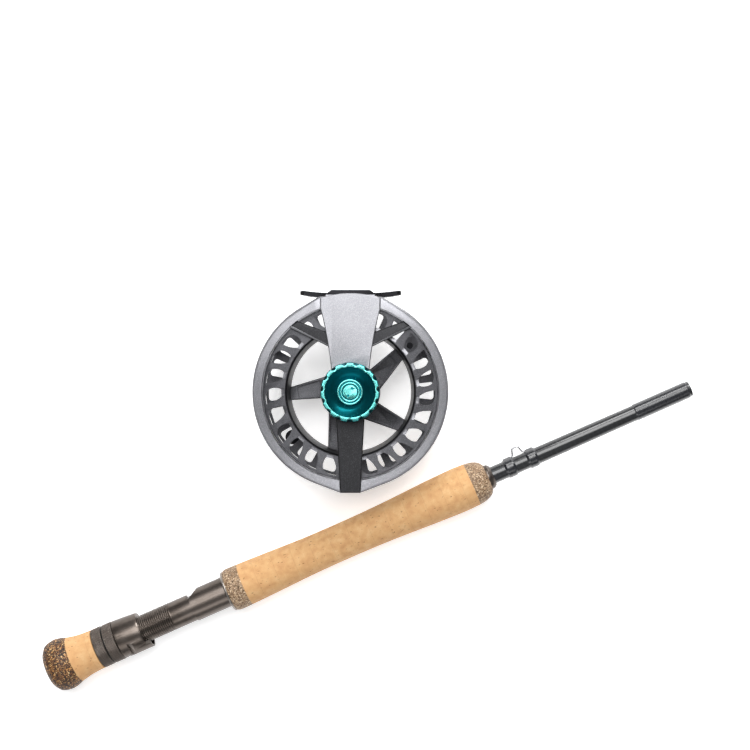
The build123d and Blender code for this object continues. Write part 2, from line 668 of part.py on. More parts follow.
def handle_knob():
    """Waisted knob that spins on the post."""
    x, y = at_turn(HANDLE_ORBIT, HANDLE_TURN)
    waist = curved([(6.1, 0.9), (6.5, 2.6), (5.7, 8.0), (5.0, 13.5), (5.4, 18.2), (5.0, 19.5)], 14)
    bore = HANDLE_PIN_R + RUN
    core = [(bore, 19.5), (bore, 2.0), (3.2, 2.0), (3.2, 0.0)]
    return Pos(x, y, 0) * turned([(5.2, 0.0)] + waist + core)


def handle_screw():
    """Screw in the end of the post that keeps the knob on."""
    x, y = at_turn(HANDLE_ORBIT, HANDLE_TURN)
    screw = disc(2.9, 0.5, 1.9) - Pos(0, 0, 0.5) * Box(4.2, 0.7, 1.0)
    return Pos(x, y, 0) * screw


# ---- all nodes, in their places ----------------------------------------------------------------------
ROD_NODES = {
    "butt_cap": butt_cap, "butt_cork": butt_cork, "rod_blank": rod_blank, "seat_barrel": seat_barrel,
    "seat_arbors": seat_arbors, "fixed_hood": fixed_hood, "sliding_hood": sliding_hood,
    "rear_lock_ring": lambda: lock_ring(RING_START, WASHER_START, LOCK_RING_R),
    "front_lock_ring": lambda: lock_ring(WASHER_END, RING_END, LOCK_RING_R - 0.1),
    "lock_washer": lambda: tube(11.6, THREAD_R + SLIDE_GAP, WASHER_START, WASHER_END),
    "seat_flange": seat_flange, "rear_trim": rear_trim, "grip_cork": grip_cork, "front_trim": front_trim,
    "winding_check": winding_check, "hook_keeper": hook_keeper,
    "keeper_wrap_rear": lambda: keeper_wrap(KEEPER_START - 3.0, KEEPER_START + 4.0),
    "keeper_wrap_front": lambda: keeper_wrap(KEEPER_END - 4.0, KEEPER_END + 3.0),
    "ferrule_wrap": lambda: wrap(FERRULE_START, ROD_END - 1.5, 0.35),
}
REEL_NODES = {
    "reel_frame": reel_frame, "cage_ring": cage_ring, "cage_pillars": cage_pillars, "foot_block": foot_block,
    "top_arm": top_arm, "hub_spider": hub_spider, "reel_foot": reel_foot,
    "foot_screws": foot_screws, "spindle": spindle, "drag_housing": drag_housing, "housing_screws": housing_screws,
    "housing_cap": housing_cap, "housing_seal": housing_seal, "brake_cone": brake_cone, "disc_springs": disc_springs,
    "pressure_nut": pressure_nut, "rotor_cone": rotor_cone, "clutch_shell": clutch_shell,
    "clutch_rollers": clutch_rollers, "clutch_hub": clutch_hub, "drag_knob": drag_knob, "knob_cap": knob_cap,
    "knob_clip": knob_clip, "click_ball": click_ball, "click_spring": click_spring,
    "spool_arbor": spool_arbor, "spool_back_flange": spool_back_flange, "spool_front_flange": spool_front_flange,
    "spool_hub": spool_hub, "spool_spokes": spool_spokes, "spool_cap": spool_cap,
    "retention_ring": retention_ring, "counterweight": counterweight,
    "handle_pin": handle_pin, "handle_knob": handle_knob, "handle_screw": handle_screw,
}


def solids_of(made):
    """List of the solids in a piece or in a group of pieces."""
    group = made if isinstance(made, list) else [made]
    return [solid for piece in group for solid in piece.solids()]


def placed_nodes():
    """Every node's solids, placed in the part's own frame with the origin under the middle of its box."""
    rod_place = Pos(0, 0, ROD_HEIGHT) * Rot(0, 90, 0)
    reel_place = Pos(REEL_X, REEL_Y, 0) * Rot(0, 0, REEL_TURN)
    nodes = {}
    for place, makers in ((rod_place, ROD_NODES), (reel_place, REEL_NODES)):
        for name, maker in makers.items():
            nodes[name] = [place * solid for solid in solids_of(maker())]
    box = Compound([solid for solids in nodes.values() for solid in solids]).bounding_box()
    shift = Pos(-box.center().X, -box.center().Y, -box.min.Z)
    return {name: [shift * solid for solid in solids] for name, solids in nodes.items()}, shift


def main():
    """Write one STEP file per node."""
    os.makedirs("parts", exist_ok=True)
    nodes, _ = placed_nodes()
    for name, solids in nodes.items():
        export_step(Compound(solids) if len(solids) > 1 else solids[0], f"parts/{name}.step")


if __name__ == "__main__":
    main()
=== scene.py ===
"""Looks of a fly rod's butt section and a large-arbor fly reel, built round their CAD frame.

Local sizes are millimetres. A Place carries them into the row frame, in metres.
Rod pieces are described by radius and station from the butt end, reel pieces by radius and height.
"""
import json
import logging
import math
from dataclasses import dataclass
from enum import Enum
from typing import Any, Callable, Optional

import bmesh
import bpy
import numpy as np
from mathutils import Matrix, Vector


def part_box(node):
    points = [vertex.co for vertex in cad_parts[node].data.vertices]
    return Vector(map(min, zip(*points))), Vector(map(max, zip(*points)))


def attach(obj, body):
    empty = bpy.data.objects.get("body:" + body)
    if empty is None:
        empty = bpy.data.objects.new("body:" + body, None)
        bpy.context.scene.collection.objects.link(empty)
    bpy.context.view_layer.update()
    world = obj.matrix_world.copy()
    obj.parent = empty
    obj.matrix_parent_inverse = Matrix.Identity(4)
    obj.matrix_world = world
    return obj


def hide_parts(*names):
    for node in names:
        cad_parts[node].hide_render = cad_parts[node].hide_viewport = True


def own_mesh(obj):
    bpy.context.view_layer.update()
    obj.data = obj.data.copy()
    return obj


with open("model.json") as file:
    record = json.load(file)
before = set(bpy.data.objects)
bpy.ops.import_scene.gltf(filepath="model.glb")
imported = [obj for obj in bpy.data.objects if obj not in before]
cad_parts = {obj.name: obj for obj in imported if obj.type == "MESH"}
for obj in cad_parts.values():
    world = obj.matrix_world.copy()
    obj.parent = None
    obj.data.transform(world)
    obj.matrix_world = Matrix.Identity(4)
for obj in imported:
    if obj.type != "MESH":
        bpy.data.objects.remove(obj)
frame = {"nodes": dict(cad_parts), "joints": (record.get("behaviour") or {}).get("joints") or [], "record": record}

LOG = logging.getLogger("fly_rod_and_reel")
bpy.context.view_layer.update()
MM = 0.001
BLUNT = 0.52                    # pointiness at which an edge starts to look rubbed
SMOOTH_ANGLE = 38.0             # neighbouring faces under this many degrees are shaded as one
BREAK_ANGLE = 32.0              # edges sharper than this many degrees are broken
BORE = 5.4                      # bore of the grip's pieces over the blank, millimetres
Shape = Callable[[np.ndarray, np.ndarray, np.ndarray], np.ndarray]


# ---- colours and shader nodes ----


def linear(hex_colour: str) -> tuple[float, float, float, float]:
    """Turn an sRGB hex colour into the linear RGBA that shaders take.

    Args:
        hex_colour: Six hex digits, such as "9a9a9c".

    Returns:
        Linear red, green, blue and an alpha of one.
    """
    srgb = np.array([int(hex_colour[i : i + 2], 16) for i in (0, 2, 4)]) / 255
    value = np.where(srgb <= 0.04045, srgb / 12.92, ((srgb + 0.055) / 1.055) ** 2.4)
    return (*value.tolist(), 1.0)


def add_node(tree: bpy.types.NodeTree, kind: str, inputs: dict[Any, Any], **settings: Any) -> bpy.types.Node:
    """Add a node, set its properties, and give each socket a value or a link.

    Args:
        tree: Node tree that takes the node.
        kind: Node type without its "ShaderNode" start.
        inputs: Socket name or number, with a value or the output socket that feeds it.
        settings: Properties of the node itself.

    Returns:
        The new node.
    """
    node = tree.nodes.new("ShaderNode" + kind)
    for name, value in settings.items():
        setattr(node, name, value)
    for name, value in inputs.items():
        if isinstance(value, bpy.types.NodeSocket):
            tree.links.new(value, node.inputs[name])
        else:
            node.inputs[name].default_value = value
    return node


class Shader:
    """A material's node tree with its surface shader and its coordinates in millimetres."""

    def __init__(self, name: str) -> None:
        """Make an empty material that ends in one Principled surface."""
        self.material = bpy.data.materials.new(name)
        self.material.use_nodes = True
        self.tree = self.material.node_tree
        self.tree.nodes.clear()
        self.surface = self.add("BsdfPrincipled", {})
        self.add("OutputMaterial", {"Surface": self.surface.outputs[0]})
        place = self.add("TexCoord", {}).outputs["Object"]
        self.mm = self.add("Mapping", {"Vector": place, "Scale": (1000.0, 1000.0, 1000.0)}).outputs[0]

    def add(self, kind: str, inputs: dict[Any, Any], **settings: Any) -> bpy.types.Node:
        """Add a node to this material."""
        return add_node(self.tree, kind, inputs, **settings)

    def noise(self, size: float, vector: Any = None, detail: float = 2.0) -> Any:
        """Smooth noise with features about size millimetres across."""
        source = self.mm if vector is None else vector
        return self.add("TexNoise", {"Vector": source, "Scale": 1.0 / size, "Detail": detail}).outputs[0]

    def stretched(self, x: float, y: float, z: float) -> Any:
        """Coordinates divided by one size per axis."""
        return self.add("Mapping", {"Vector": self.mm, "Scale": (1.0 / x, 1.0 / y, 1.0 / z)}).outputs[0]

    def along(self, direction: tuple[float, float, float]) -> Any:
        """Millimetres along one direction."""
        return self.add("VectorMath", {0: self.mm, 1: direction}, operation="DOT_PRODUCT").outputs["Value"]

    def from_axis(self, place: "Place") -> Any:
        """Level vector, in millimetres, from the upright axis of a place."""
        centre = (place.origin[0] / MM, place.origin[1] / MM, 0.0)
        offset = self.add("VectorMath", {0: self.mm, 1: centre}, operation="SUBTRACT").outputs[0]
        return self.add("VectorMath", {0: offset, 1: (1.0, 1.0, 0.0)}, operation="MULTIPLY").outputs[0]

    def rubbed(self, most: float, full: float, cloud: Any) -> Any:
        """Wear: a cloud, or more on sharp edges, where it rises to most as the pointiness reaches full."""
        edge = self.add("NewGeometry", {}).outputs["Pointiness"]
        return self.math("MAXIMUM", self.span(edge, 0.0, most, BLUNT, full), cloud)

    def ramp(self, factor: Any, stops: list[tuple[float, str]]) -> Any:
        """Colour ramp over a factor, with stops given as position and sRGB hex."""
        node = self.add("ValToRGB", {0: factor})
        ramp = node.color_ramp
        ramp.interpolation = "LINEAR"
        while len(ramp.elements) < len(stops):
            ramp.elements.new(0.5)
        for element, (position, colour) in zip(ramp.elements, stops):
            element.position = position
            element.color = linear(colour)
        return node.outputs[0]

    def span(self, factor: Any, low: float, high: float, start: float = 0.0, end: float = 1.0) -> Any:
        """Carry a factor from start..end to low..high, clamped."""
        values = {0: factor, 1: start, 2: end, 3: low, 4: high}
        return self.add("MapRange", values).outputs[0]

    def mix(self, factor: Any, first: Any, second: Any, blend: str = "MIX") -> Any:
        """Mix two colours."""
        node = self.add("Mix", {0: factor, 6: first, 7: second}, data_type="RGBA", blend_type=blend)
        return node.outputs[2]

    def math(self, operation: str, first: Any, second: Any = 0.0) -> Any:
        """Arithmetic on one or two numbers."""
        return self.add("Math", {0: first, 1: second}, operation=operation).outputs[0]

    def bump(self, height: Any, depth: float, strength: float = 1.0, under: Any = None) -> Any:
        """Bump whose full height is depth millimetres, on top of another bump if one is given."""
        values = {"Height": height, "Distance": depth * MM, "Strength": strength}
        if under is not None:
            values["Normal"] = under
        return self.add("Bump", values).outputs[0]

    def set(self, **values: Any) -> bpy.types.Material:
        """Fill the surface's sockets, with underscores standing for spaces, and return the material."""
        for name, value in values.items():
            socket = self.surface.inputs[name.replace("_", " ")]
            if isinstance(value, bpy.types.NodeSocket):
                self.tree.links.new(value, socket)
            else:
                socket.default_value = value
        return self.material


# ---- places in the row frame ----


@dataclass(frozen=True)
class Place:
    """Origin in metres and the row directions of a sub-assembly's own x, y and z."""

    origin: tuple[float, float, float]
    x: tuple[float, float, float]
    y: tuple[float, float, float]
    z: tuple[float, float, float]

    def to_row(self, points: np.ndarray) -> np.ndarray:
        """Carry local millimetre points into row metres: origin plus each size along its direction."""
        return np.array(self.origin) + points @ np.array([self.x, self.y, self.z]) * MM

    def moved(self, x: float, y: float) -> "Place":
        """The same directions with the origin moved by local millimetres."""
        origin = self.to_row(np.array([x, y, 0.0]))
        return Place(tuple(origin.tolist()), self.x, self.y, self.z)


def rod_place() -> Place:
    """Rod's own frame: z along the rod from the butt end, y towards the reel."""
    low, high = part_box("rod_blank")
    butt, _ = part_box("butt_cap")
    origin = (butt.x, (low.y + high.y) / 2, (low.z + high.z) / 2)
    return Place(origin, (0.0, 0.0, -1.0), (0.0, 1.0, 0.0), (1.0, 0.0, 0.0))


def reel_place() -> Place:
    """Reel's own frame: z up its axis from the floor, y towards its foot."""
    spin = next(joint for joint in frame["joints"] if joint["name"] == "spool_spin")
    foot = next(mount for mount in frame["record"]["mounts"] if mount["name"] == "reel_foot_top")
    across, along = foot["axis"][0], foot["axis"][1]
    origin = (spin["pos_m"][0], spin["pos_m"][1], 0.0)
    return Place(origin, (along, -across, 0.0), (across, along, 0.0), (0.0, 0.0, 1.0))


# ---- finishes ----


class Lay(Enum):
    """Which way a machined surface's fine marks run."""

    ROUND_ROD = "round the rod"
    ROUND_REEL = "round the reel"
    NONE = "none"


@dataclass(frozen=True)
class Anodised:
    """Turned and anodised aluminium: dyed metal with fine tool marks that draw highlights into soft bands."""

    name: str
    colour: str
    worn: str
    roughness: float
    lay: Lay = Lay.NONE
    mark: float = 0.35          # real tool marks are near 0.1 mm, drawn coarser so that they show
    depth: float = 0.012
    cloud: float = 0.25

    def make(self, reel: Place) -> bpy.types.Material:
        """Build the material, with marks ringed about the rod or the reel's axis.

        Args:
            reel: Place that gives the reel's axis.

        Returns:
            The material.
        """
        shader = Shader(self.name)
        if self.lay is Lay.ROUND_ROD:
            along = shader.along((1.0, 0.0, 0.0))
        elif self.lay is Lay.ROUND_REEL:
            radius = shader.add("VectorMath", {0: shader.from_axis(reel)}, operation="LENGTH")
            along = shader.math("ADD", radius.outputs["Value"], shader.along((0.0, 0.0, 1.0)))
        else:
            along = shader.noise(self.mark * 4)
        scaled = shader.math("MULTIPLY", along, 1.0 / self.mark)
        waves = {"W": scaled, "Scale": 1.0, "Detail": 3.0}
        marks = shader.add("TexNoise", waves, noise_dimensions="1D").outputs[0]
        grain = shader.noise(0.25, detail=1.0)
        tone = shader.span(shader.noise(7.0), 0.0, self.cloud, 0.35, 0.7)
        colour = shader.mix(shader.rubbed(0.55, 0.58, tone), linear(self.colour), linear(self.worn))
        rough = shader.span(marks, self.roughness - 0.05, self.roughness + 0.07, 0.3, 0.7)
        relief = shader.bump(marks, self.depth, 0.5, shader.bump(grain, self.depth / 3, 0.4))
        return shader.set(Base_Color=colour, Metallic=1.0, Roughness=rough, Normal=relief)


@dataclass(frozen=True)
class FlakePaint:
    """Baked metallic enamel over turned aluminium: a satin film with flakes that sparkle one by one.

    On a turned piece the ringed tool marks under the film stretch each highlight across them, so that a ring
    is bright towards the light and away from it, and dark at its two sides.
    """

    name: str
    colour: str
    flake: str
    dark: str
    roughness: float
    metallic: float
    flake_size: float = 0.45    # real flakes are near 0.05 mm, drawn as large as they need to show
    turned: float = 0.0

    def make(self, reel: Place) -> bpy.types.Material:
        """Build the material: each Voronoi cell is a flake with its own shade and slight tilt."""
        shader = Shader(self.name)
        cells = shader.add("TexVoronoi", {"Vector": shader.mm, "Scale": 1.0 / self.flake_size})
        shade = shader.add("SeparateColor", {0: cells.outputs["Color"]}).outputs[0]
        stops = [(0.0, self.dark), (0.35, self.colour), (0.75, self.colour), (1.0, self.flake)]
        flakes = shader.ramp(shade, stops)
        cloud = shader.span(shader.noise(9.0), 0.0, 0.3, 0.35, 0.7)
        bare = shader.mix(0.5, flakes, linear(self.flake))
        colour = shader.mix(shader.rubbed(0.6, 0.57, cloud), flakes, bare)
        rough = shader.span(shade, self.roughness - 0.06, self.roughness + 0.06)
        relief = shader.bump(shader.noise(0.5, detail=3.0), 0.02, 0.35, shader.bump(shade, 0.004, 0.4))
        if self.turned:
            across = shader.add("VectorTransform", {0: shader.from_axis(reel)}, convert_from="OBJECT",
                                convert_to="WORLD")
            shader.set(Tangent=across.outputs[0], Anisotropic=self.turned)
        return shader.set(Base_Color=colour, Metallic=self.metallic, Roughness=rough, Normal=relief)


@dataclass(frozen=True)
class Cork:
    """Flor-grade natural cork, sanded: pale cells, small dark lenticels and faint glue lines."""

    name: str
    colour: str
    pale: str
    deep: str
    pit: str
    ring: float = 12.7          # cork rings are half an inch thick

    def make(self, reel: Place) -> bpy.types.Material:
        """Build the material: cloudy tan, short dark dashes along the rod and a tint for each ring."""
        shader = Shader(self.name)
        tones = [(0.3, self.deep), (0.5, self.colour), (0.72, self.pale)]
        cloud = shader.ramp(shader.noise(4.5, detail=5.0), tones)
        cells = shader.noise(0.7, detail=3.0)
        base = shader.mix(shader.span(cells, 0.0, 0.45, 0.45, 0.75), cloud, linear(self.deep))
        along = shader.along((1.0, 0.0, 0.0))
        step = shader.math("DIVIDE", along, self.ring)
        ring = {"W": shader.math("FLOOR", step)}
        tint = shader.add("TexWhiteNoise", ring, noise_dimensions="1D").outputs[0]
        base = shader.mix(shader.span(tint, 0.0, 0.3), base, linear(self.deep))
        within = shader.math("ABSOLUTE", shader.math("SUBTRACT", shader.math("FRACT", step), 0.5))
        glue = shader.span(within, 0.0, 0.25, 0.488, 0.497)
        base = shader.mix(glue, base, linear(self.pit))
        cells_along = {"Vector": shader.stretched(3.4, 1.3, 1.3), "Scale": 1.0, "Randomness": 1.0}
        dashes = shader.add("TexVoronoi", cells_along).outputs["Distance"]
        near = shader.math("ADD", dashes, shader.span(shader.noise(0.6), -0.12, 0.12, 0.3, 0.7))
        rarity = shader.span(shader.noise(3.1), 0.0, 1.0, 0.5, 0.6)
        pits = shader.math("MULTIPLY", shader.span(near, 1.0, 0.0, 0.13, 0.24), rarity)
        colour = shader.mix(shader.math("MULTIPLY", pits, 0.8), base, linear(self.pit))
        relief = shader.bump(shader.math("SUBTRACT", cells, pits), 0.09, 0.7)
        return shader.set(Base_Color=colour, Roughness=0.72, Normal=relief, Specular_IOR_Level=0.3)


@dataclass(frozen=True)
class BurlCork:
    """Composite cork: ground granules of bark and cork pressed in a dark binder, then sanded."""

    name: str
    stops: tuple[tuple[float, str], ...]
    binder: str
    granule: float
    roughness: float = 0.6

    def make(self, reel: Place) -> bpy.types.Material:
        """Build the material: Voronoi granules in two sizes, each with one of the bark's tones."""
        shader = Shader(self.name)
        push = shader.add("TexNoise", {"Vector": shader.mm, "Scale": 0.9, "Detail": 3.0}).outputs["Color"]
        bent = shader.mix(0.28, shader.mm, push, "ADD")
        cells = {"Vector": bent, "Scale": 1.0 / self.granule}
        coarse = shader.add("TexVoronoi", cells)
        fine = shader.add("TexVoronoi", {"Vector": bent, "Scale": 2.4 / self.granule})
        pick = shader.span(shader.noise(self.granule * 1.3), 0.0, 1.0, 0.49, 0.51)
        first = shader.add("SeparateColor", {0: coarse.outputs["Color"]}).outputs[0]
        second = shader.add("SeparateColor", {0: fine.outputs["Color"]}).outputs[1]
        tone = shader.ramp(shader.add("Mix", {0: pick, 2: first, 3: second}).outputs[0], list(self.stops))
        edges = shader.add("TexVoronoi", cells, feature="DISTANCE_TO_EDGE").outputs["Distance"]
        seam = shader.span(edges, 0.75, 0.0, 0.0, 0.09)
        colour = shader.mix(seam, tone, linear(self.binder))
        grit = shader.noise(0.35, detail=3.0)
        relief = shader.bump(grit, 0.06, 0.6, shader.bump(edges, 0.10, 0.5))
        rough = shader.span(grit, self.roughness - 0.08, self.roughness + 0.12, 0.3, 0.7)
        return shader.set(Base_Color=colour, Roughness=rough, Normal=relief)


@dataclass(frozen=True)
class Blank:
    """Carbon fibre tube under clear epoxy: near-black weave of unsanded tape spirals with a wet gloss."""

    name: str
    colour: str
    tape: str
    pitch: float = 3.2

    def make(self, reel: Place) -> bpy.types.Material:
        """Build the material: soft bands from the wrapping tape, fine fibres and a clear coat."""
        shader = Shader(self.name)
        along = shader.along((1.0, 0.12, 0.0))
        band = shader.math("FRACT", shader.math("DIVIDE", along, self.pitch))
        middle = shader.math("ABSOLUTE", shader.math("SUBTRACT", band, 0.5))
        ridge = shader.span(middle, 0.0, 1.0, 0.30, 0.5)
        fibres = shader.add("TexNoise", {"Vector": shader.stretched(6.0, 0.2, 0.2), "Scale": 1.0}).outputs[0]
        threads = shader.span(fibres, 0.0, 0.5, 0.4, 0.7)
        mixed = shader.math("MAXIMUM", shader.math("MULTIPLY", ridge, 0.7), threads)
        colour = shader.mix(mixed, linear(self.colour), linear(self.tape))
        relief = shader.bump(ridge, 0.03, 0.5)
        return shader.set(Base_Color=colour, Roughness=0.38, Normal=relief,
                          Coat_Weight=0.8, Coat_Roughness=0.07)


@dataclass(frozen=True)
class Plain:
    """Other finishes with a fine even texture: steel, brass, rubber, polymer, wound thread, a light metal edge."""

    name: str
    colour: str
    second: str
    roughness: float
    grain: tuple[float, float, float]
    depth: float
    metallic: float = 0.0
    coat: float = 0.0

    def make(self, reel: Place) -> bpy.types.Material:
        """Build the material: noise stretched to the grain's sizes shifts colour, gloss and height."""
        shader = Shader(self.name)
        vector = shader.stretched(*self.grain)
        grain = shader.add("TexNoise", {"Vector": vector, "Scale": 1.0, "Detail": 3.0}).outputs[0]
        colour = shader.mix(shader.span(grain, 0.0, 1.0, 0.35, 0.7), linear(self.colour), linear(self.second))
        rough = shader.span(grain, self.roughness - 0.06, self.roughness + 0.08, 0.3, 0.7)
        relief = shader.bump(grain, self.depth, 0.6)
        return shader.set(Base_Color=colour, Metallic=self.metallic, Roughness=rough, Normal=relief,
                          Coat_Weight=self.coat, Coat_Roughness=0.12)


BARK = ((0.0, "120a05"), (0.25, "2d1a0b"), (0.45, "55351a"), (0.60, "22130a"), (0.76, "825127"),
        (0.90, "c48e50"), (1.0, "e2bf8a"))
PALE_BARK = ((0.0, "413020"), (0.2, "7a5d43"), (0.45, "a38565"), (0.6, "604834"), (0.78, "bc9e7a"),
             (1.0, "e4cdae"))
FINISHES = {
    "burl_cork": BurlCork("rubberised_burl_cork", BARK, "1e130b", 1.0),
    "light_burl": BurlCork("composite_burl_cork", PALE_BARK, "6b5747", 1.0),
    "cork": Cork("flor_cork", "d3a673", "dbb584", "c59565", "845a35"),
    "gunmetal": Anodised("anodised_aluminium_gunmetal", "59514b", "8d857f", 0.34, Lay.ROUND_ROD),
    "bright_ring": Anodised("bright_anodised_aluminium", "8f8882", "b5afa8", 0.34, Lay.ROUND_ROD),
    "black_anodised": Anodised("anodised_aluminium_black", "18181a", "3a3a3d", 0.40),
    "teal": Anodised("anodised_aluminium_teal", "0c6f78", "3fa9a8", 0.33, Lay.ROUND_REEL, 0.3, 0.002, 0.05),
    # Lighter teal for the knob's upward-facing lands: the lighter colour is a painted highlight for the overhead
    # light's reflection; its lower roughness and finer marks are a smoother finish.
    "teal_land_painted_highlight": Anodised("teal_lands_painted_highlight", "5cb5b0", "8fd6d0", 0.24, Lay.ROUND_REEL,
                          0.3, 0.001, 0.05),
    "frame_grey": FlakePaint("metallic_enamel_grey", "7e7e82", "98989c", "6d6d71", 0.36, 0.92, 0.32, 0.8),
    # Lighter copy of the frame's grey enamel for the upper arm's plate: the lighter colour is a painted highlight
    # for the light its top catches; its unturned film and higher roughness are its own.
    "arm_grey_painted_highlight": FlakePaint("metallic_enamel_grey_flat_painted_highlight", "939397", "adadb2", "828286", 0.46, 0.9, 0.32),
    "charcoal": FlakePaint("metallic_enamel_charcoal", "4a4a4d", "636367", "3b3b3e", 0.44, 0.8, 0.32, 0.6),
    # Darker copy of the charcoal enamel for the spider and the arbor wall, both charcoal parts: the darker colour
    # is painted shade, under the upper arm's plate and inside the spool.
    "charcoal_painted_shade": FlakePaint("metallic_enamel_charcoal_painted_shade", "262628", "3c3c3f", "1d1d1f", 0.46,
                                0.7, 0.32),
    "bright_edge": Plain("light_metal_edge", "c4c4c8", "a6a6aa", 0.3, (0.5, 0.5, 0.5), 0.01, 1.0),
    "graphite": Blank("epoxy_coated_carbon_fibre", "0c0d0f", "23262a"),
    "wrap": Plain("epoxy_coated_silk_thread", "101114", "24262c", 0.3, (0.18, 2.0, 2.0), 0.05, 0.0, 0.8),
    "steel": Plain("brushed_stainless_steel", "b4b4b6", "8f8f92", 0.26, (0.4, 0.4, 2.5), 0.012, 1.0),
    "brass": Plain("turned_brass", "c9a24f", "9a7630", 0.3, (0.6, 0.6, 0.3), 0.012, 1.0),
    "rubber": Plain("nitrile_rubber", "151515", "222222", 0.68, (0.4, 0.4, 0.4), 0.02),
    "polymer": Plain("moulded_polyamide", "1d1e20", "2c2d30", 0.5, (0.5, 0.5, 0.5), 0.03),
}


# ---- surfaces ----


def rounded(points: np.ndarray, radius: float, closed: bool, steps: int = 3) -> np.ndarray:
    """Round a profile's corners: each becomes a quadratic curve between points set back along its two sides.

    Args:
        points: Profile corners, one row each.
        radius: Setback in millimetres, at most 0.45 of the shorter side.
        closed: Whether the last point joins the first. An open profile keeps its ends.
        steps: Pieces in each rounded corner.

    Returns:
        The finer profile.
    """
    before, after = np.roll(points, 1, 0) - points, np.roll(points, -1, 0) - points
    lengths = np.stack([np.linalg.norm(before, axis=1), np.linalg.norm(after, axis=1)])
    setback = np.minimum(radius, 0.45 * lengths.min(0))[:, None]
    first = points + before / lengths[0][:, None] * setback
    last = points + after / lengths[1][:, None] * setback
    t = np.linspace(0, 1, steps + 1)[None, :, None]
    curve = (1 - t) ** 2 * first[:, None] + 2 * t * (1 - t) * points[:, None] + t**2 * last[:, None]
    if closed:
        return curve.reshape(-1, 2)
    return np.vstack([points[:1], curve[1:-1].reshape(-1, 2), points[-1:]])


def flowing(points: list[tuple[float, float]], steps: int = 6) -> list[tuple[float, float]]:
    """Catmull-Rom curve through stations, with steps pieces between each pair."""
    knots = np.array(points, float)
    padded = np.vstack([2 * knots[0] - knots[1], knots, 2 * knots[-1] - knots[-2]])
    a, b, c, d = padded[:-3, None], padded[1:-2, None], padded[2:-1, None], padded[3:, None]
    t = np.linspace(0, 1, steps, endpoint=False)[None, :, None]
    square, cube = 2 * a - 5 * b + 4 * c - d, 3 * b - a - 3 * c + d
    curve = 0.5 * (2 * b + (c - a) * t + square * t**2 + cube * t**3)
    return [tuple(row) for row in np.vstack([curve.reshape(-1, 2), knots[-1:]]).tolist()]


def face_values(mesh: bpy.types.Mesh, name: str) -> np.ndarray:
    """Three numbers for each face of a mesh, such as its normal or its center."""
    values = np.zeros(len(mesh.polygons) * 3, np.float32)
    mesh.polygons.foreach_get(name, values)
    return values.reshape(-1, 3)


def grid_piece(name: str, points: np.ndarray, closed: bool) -> bpy.types.Object:
    """Mesh object from a grid of points that wraps round its second parameter.

    Args:
        name: Object name.
        points: Rows, columns and three coordinates, in metres.
        closed: Whether the last row joins the first. Else its end rows are poles or open edges.

    Returns:
        The object at the origin, doubles merged and faces outward.
    """
    rows, columns = points.shape[:2]
    index = np.arange(rows * columns).reshape(rows, columns)
    across = np.roll(index, -1, 1)
    down = np.roll(index, -1, 0) if closed else index[1:]
    count = rows if closed else rows - 1
    quads = np.stack([index[:count], across[:count], np.roll(down, -1, 1), down], -1).reshape(-1, 4)
    mesh = bpy.data.meshes.new(name)
    mesh.from_pydata(points.reshape(-1, 3).tolist(), [], quads.tolist())
    return finished_piece(name, mesh, 1e-7)


def finished_piece(name: str, mesh: bpy.types.Mesh, merge: float, flat: float = 0.0) -> bpy.types.Object:
    """Merge a mesh's doubles, turn its faces outward, shade it and link it as an object.

    Args:
        name: Object name.
        mesh: The mesh.
        merge: Distance in metres under which points become one.
        flat: Angle in radians under which neighbouring faces are joined, or none at zero.

    Returns:
        The object.
    """
    edit = bmesh.new()
    edit.from_mesh(mesh)
    bmesh.ops.remove_doubles(edit, verts=edit.verts, dist=merge)
    if flat:
        bmesh.ops.dissolve_limit(edit, angle_limit=flat, verts=edit.verts, edges=edit.edges)
    bmesh.ops.recalc_face_normals(edit, faces=edit.faces)
    edit.to_mesh(mesh)
    edit.free()
    mesh.polygons.foreach_set("use_smooth", np.ones(len(mesh.polygons), bool))
    mesh.set_sharp_from_angle(angle=math.radians(SMOOTH_ANGLE))
    piece = bpy.data.objects.new(name, mesh)
    bpy.context.scene.collection.objects.link(piece)
    return piece


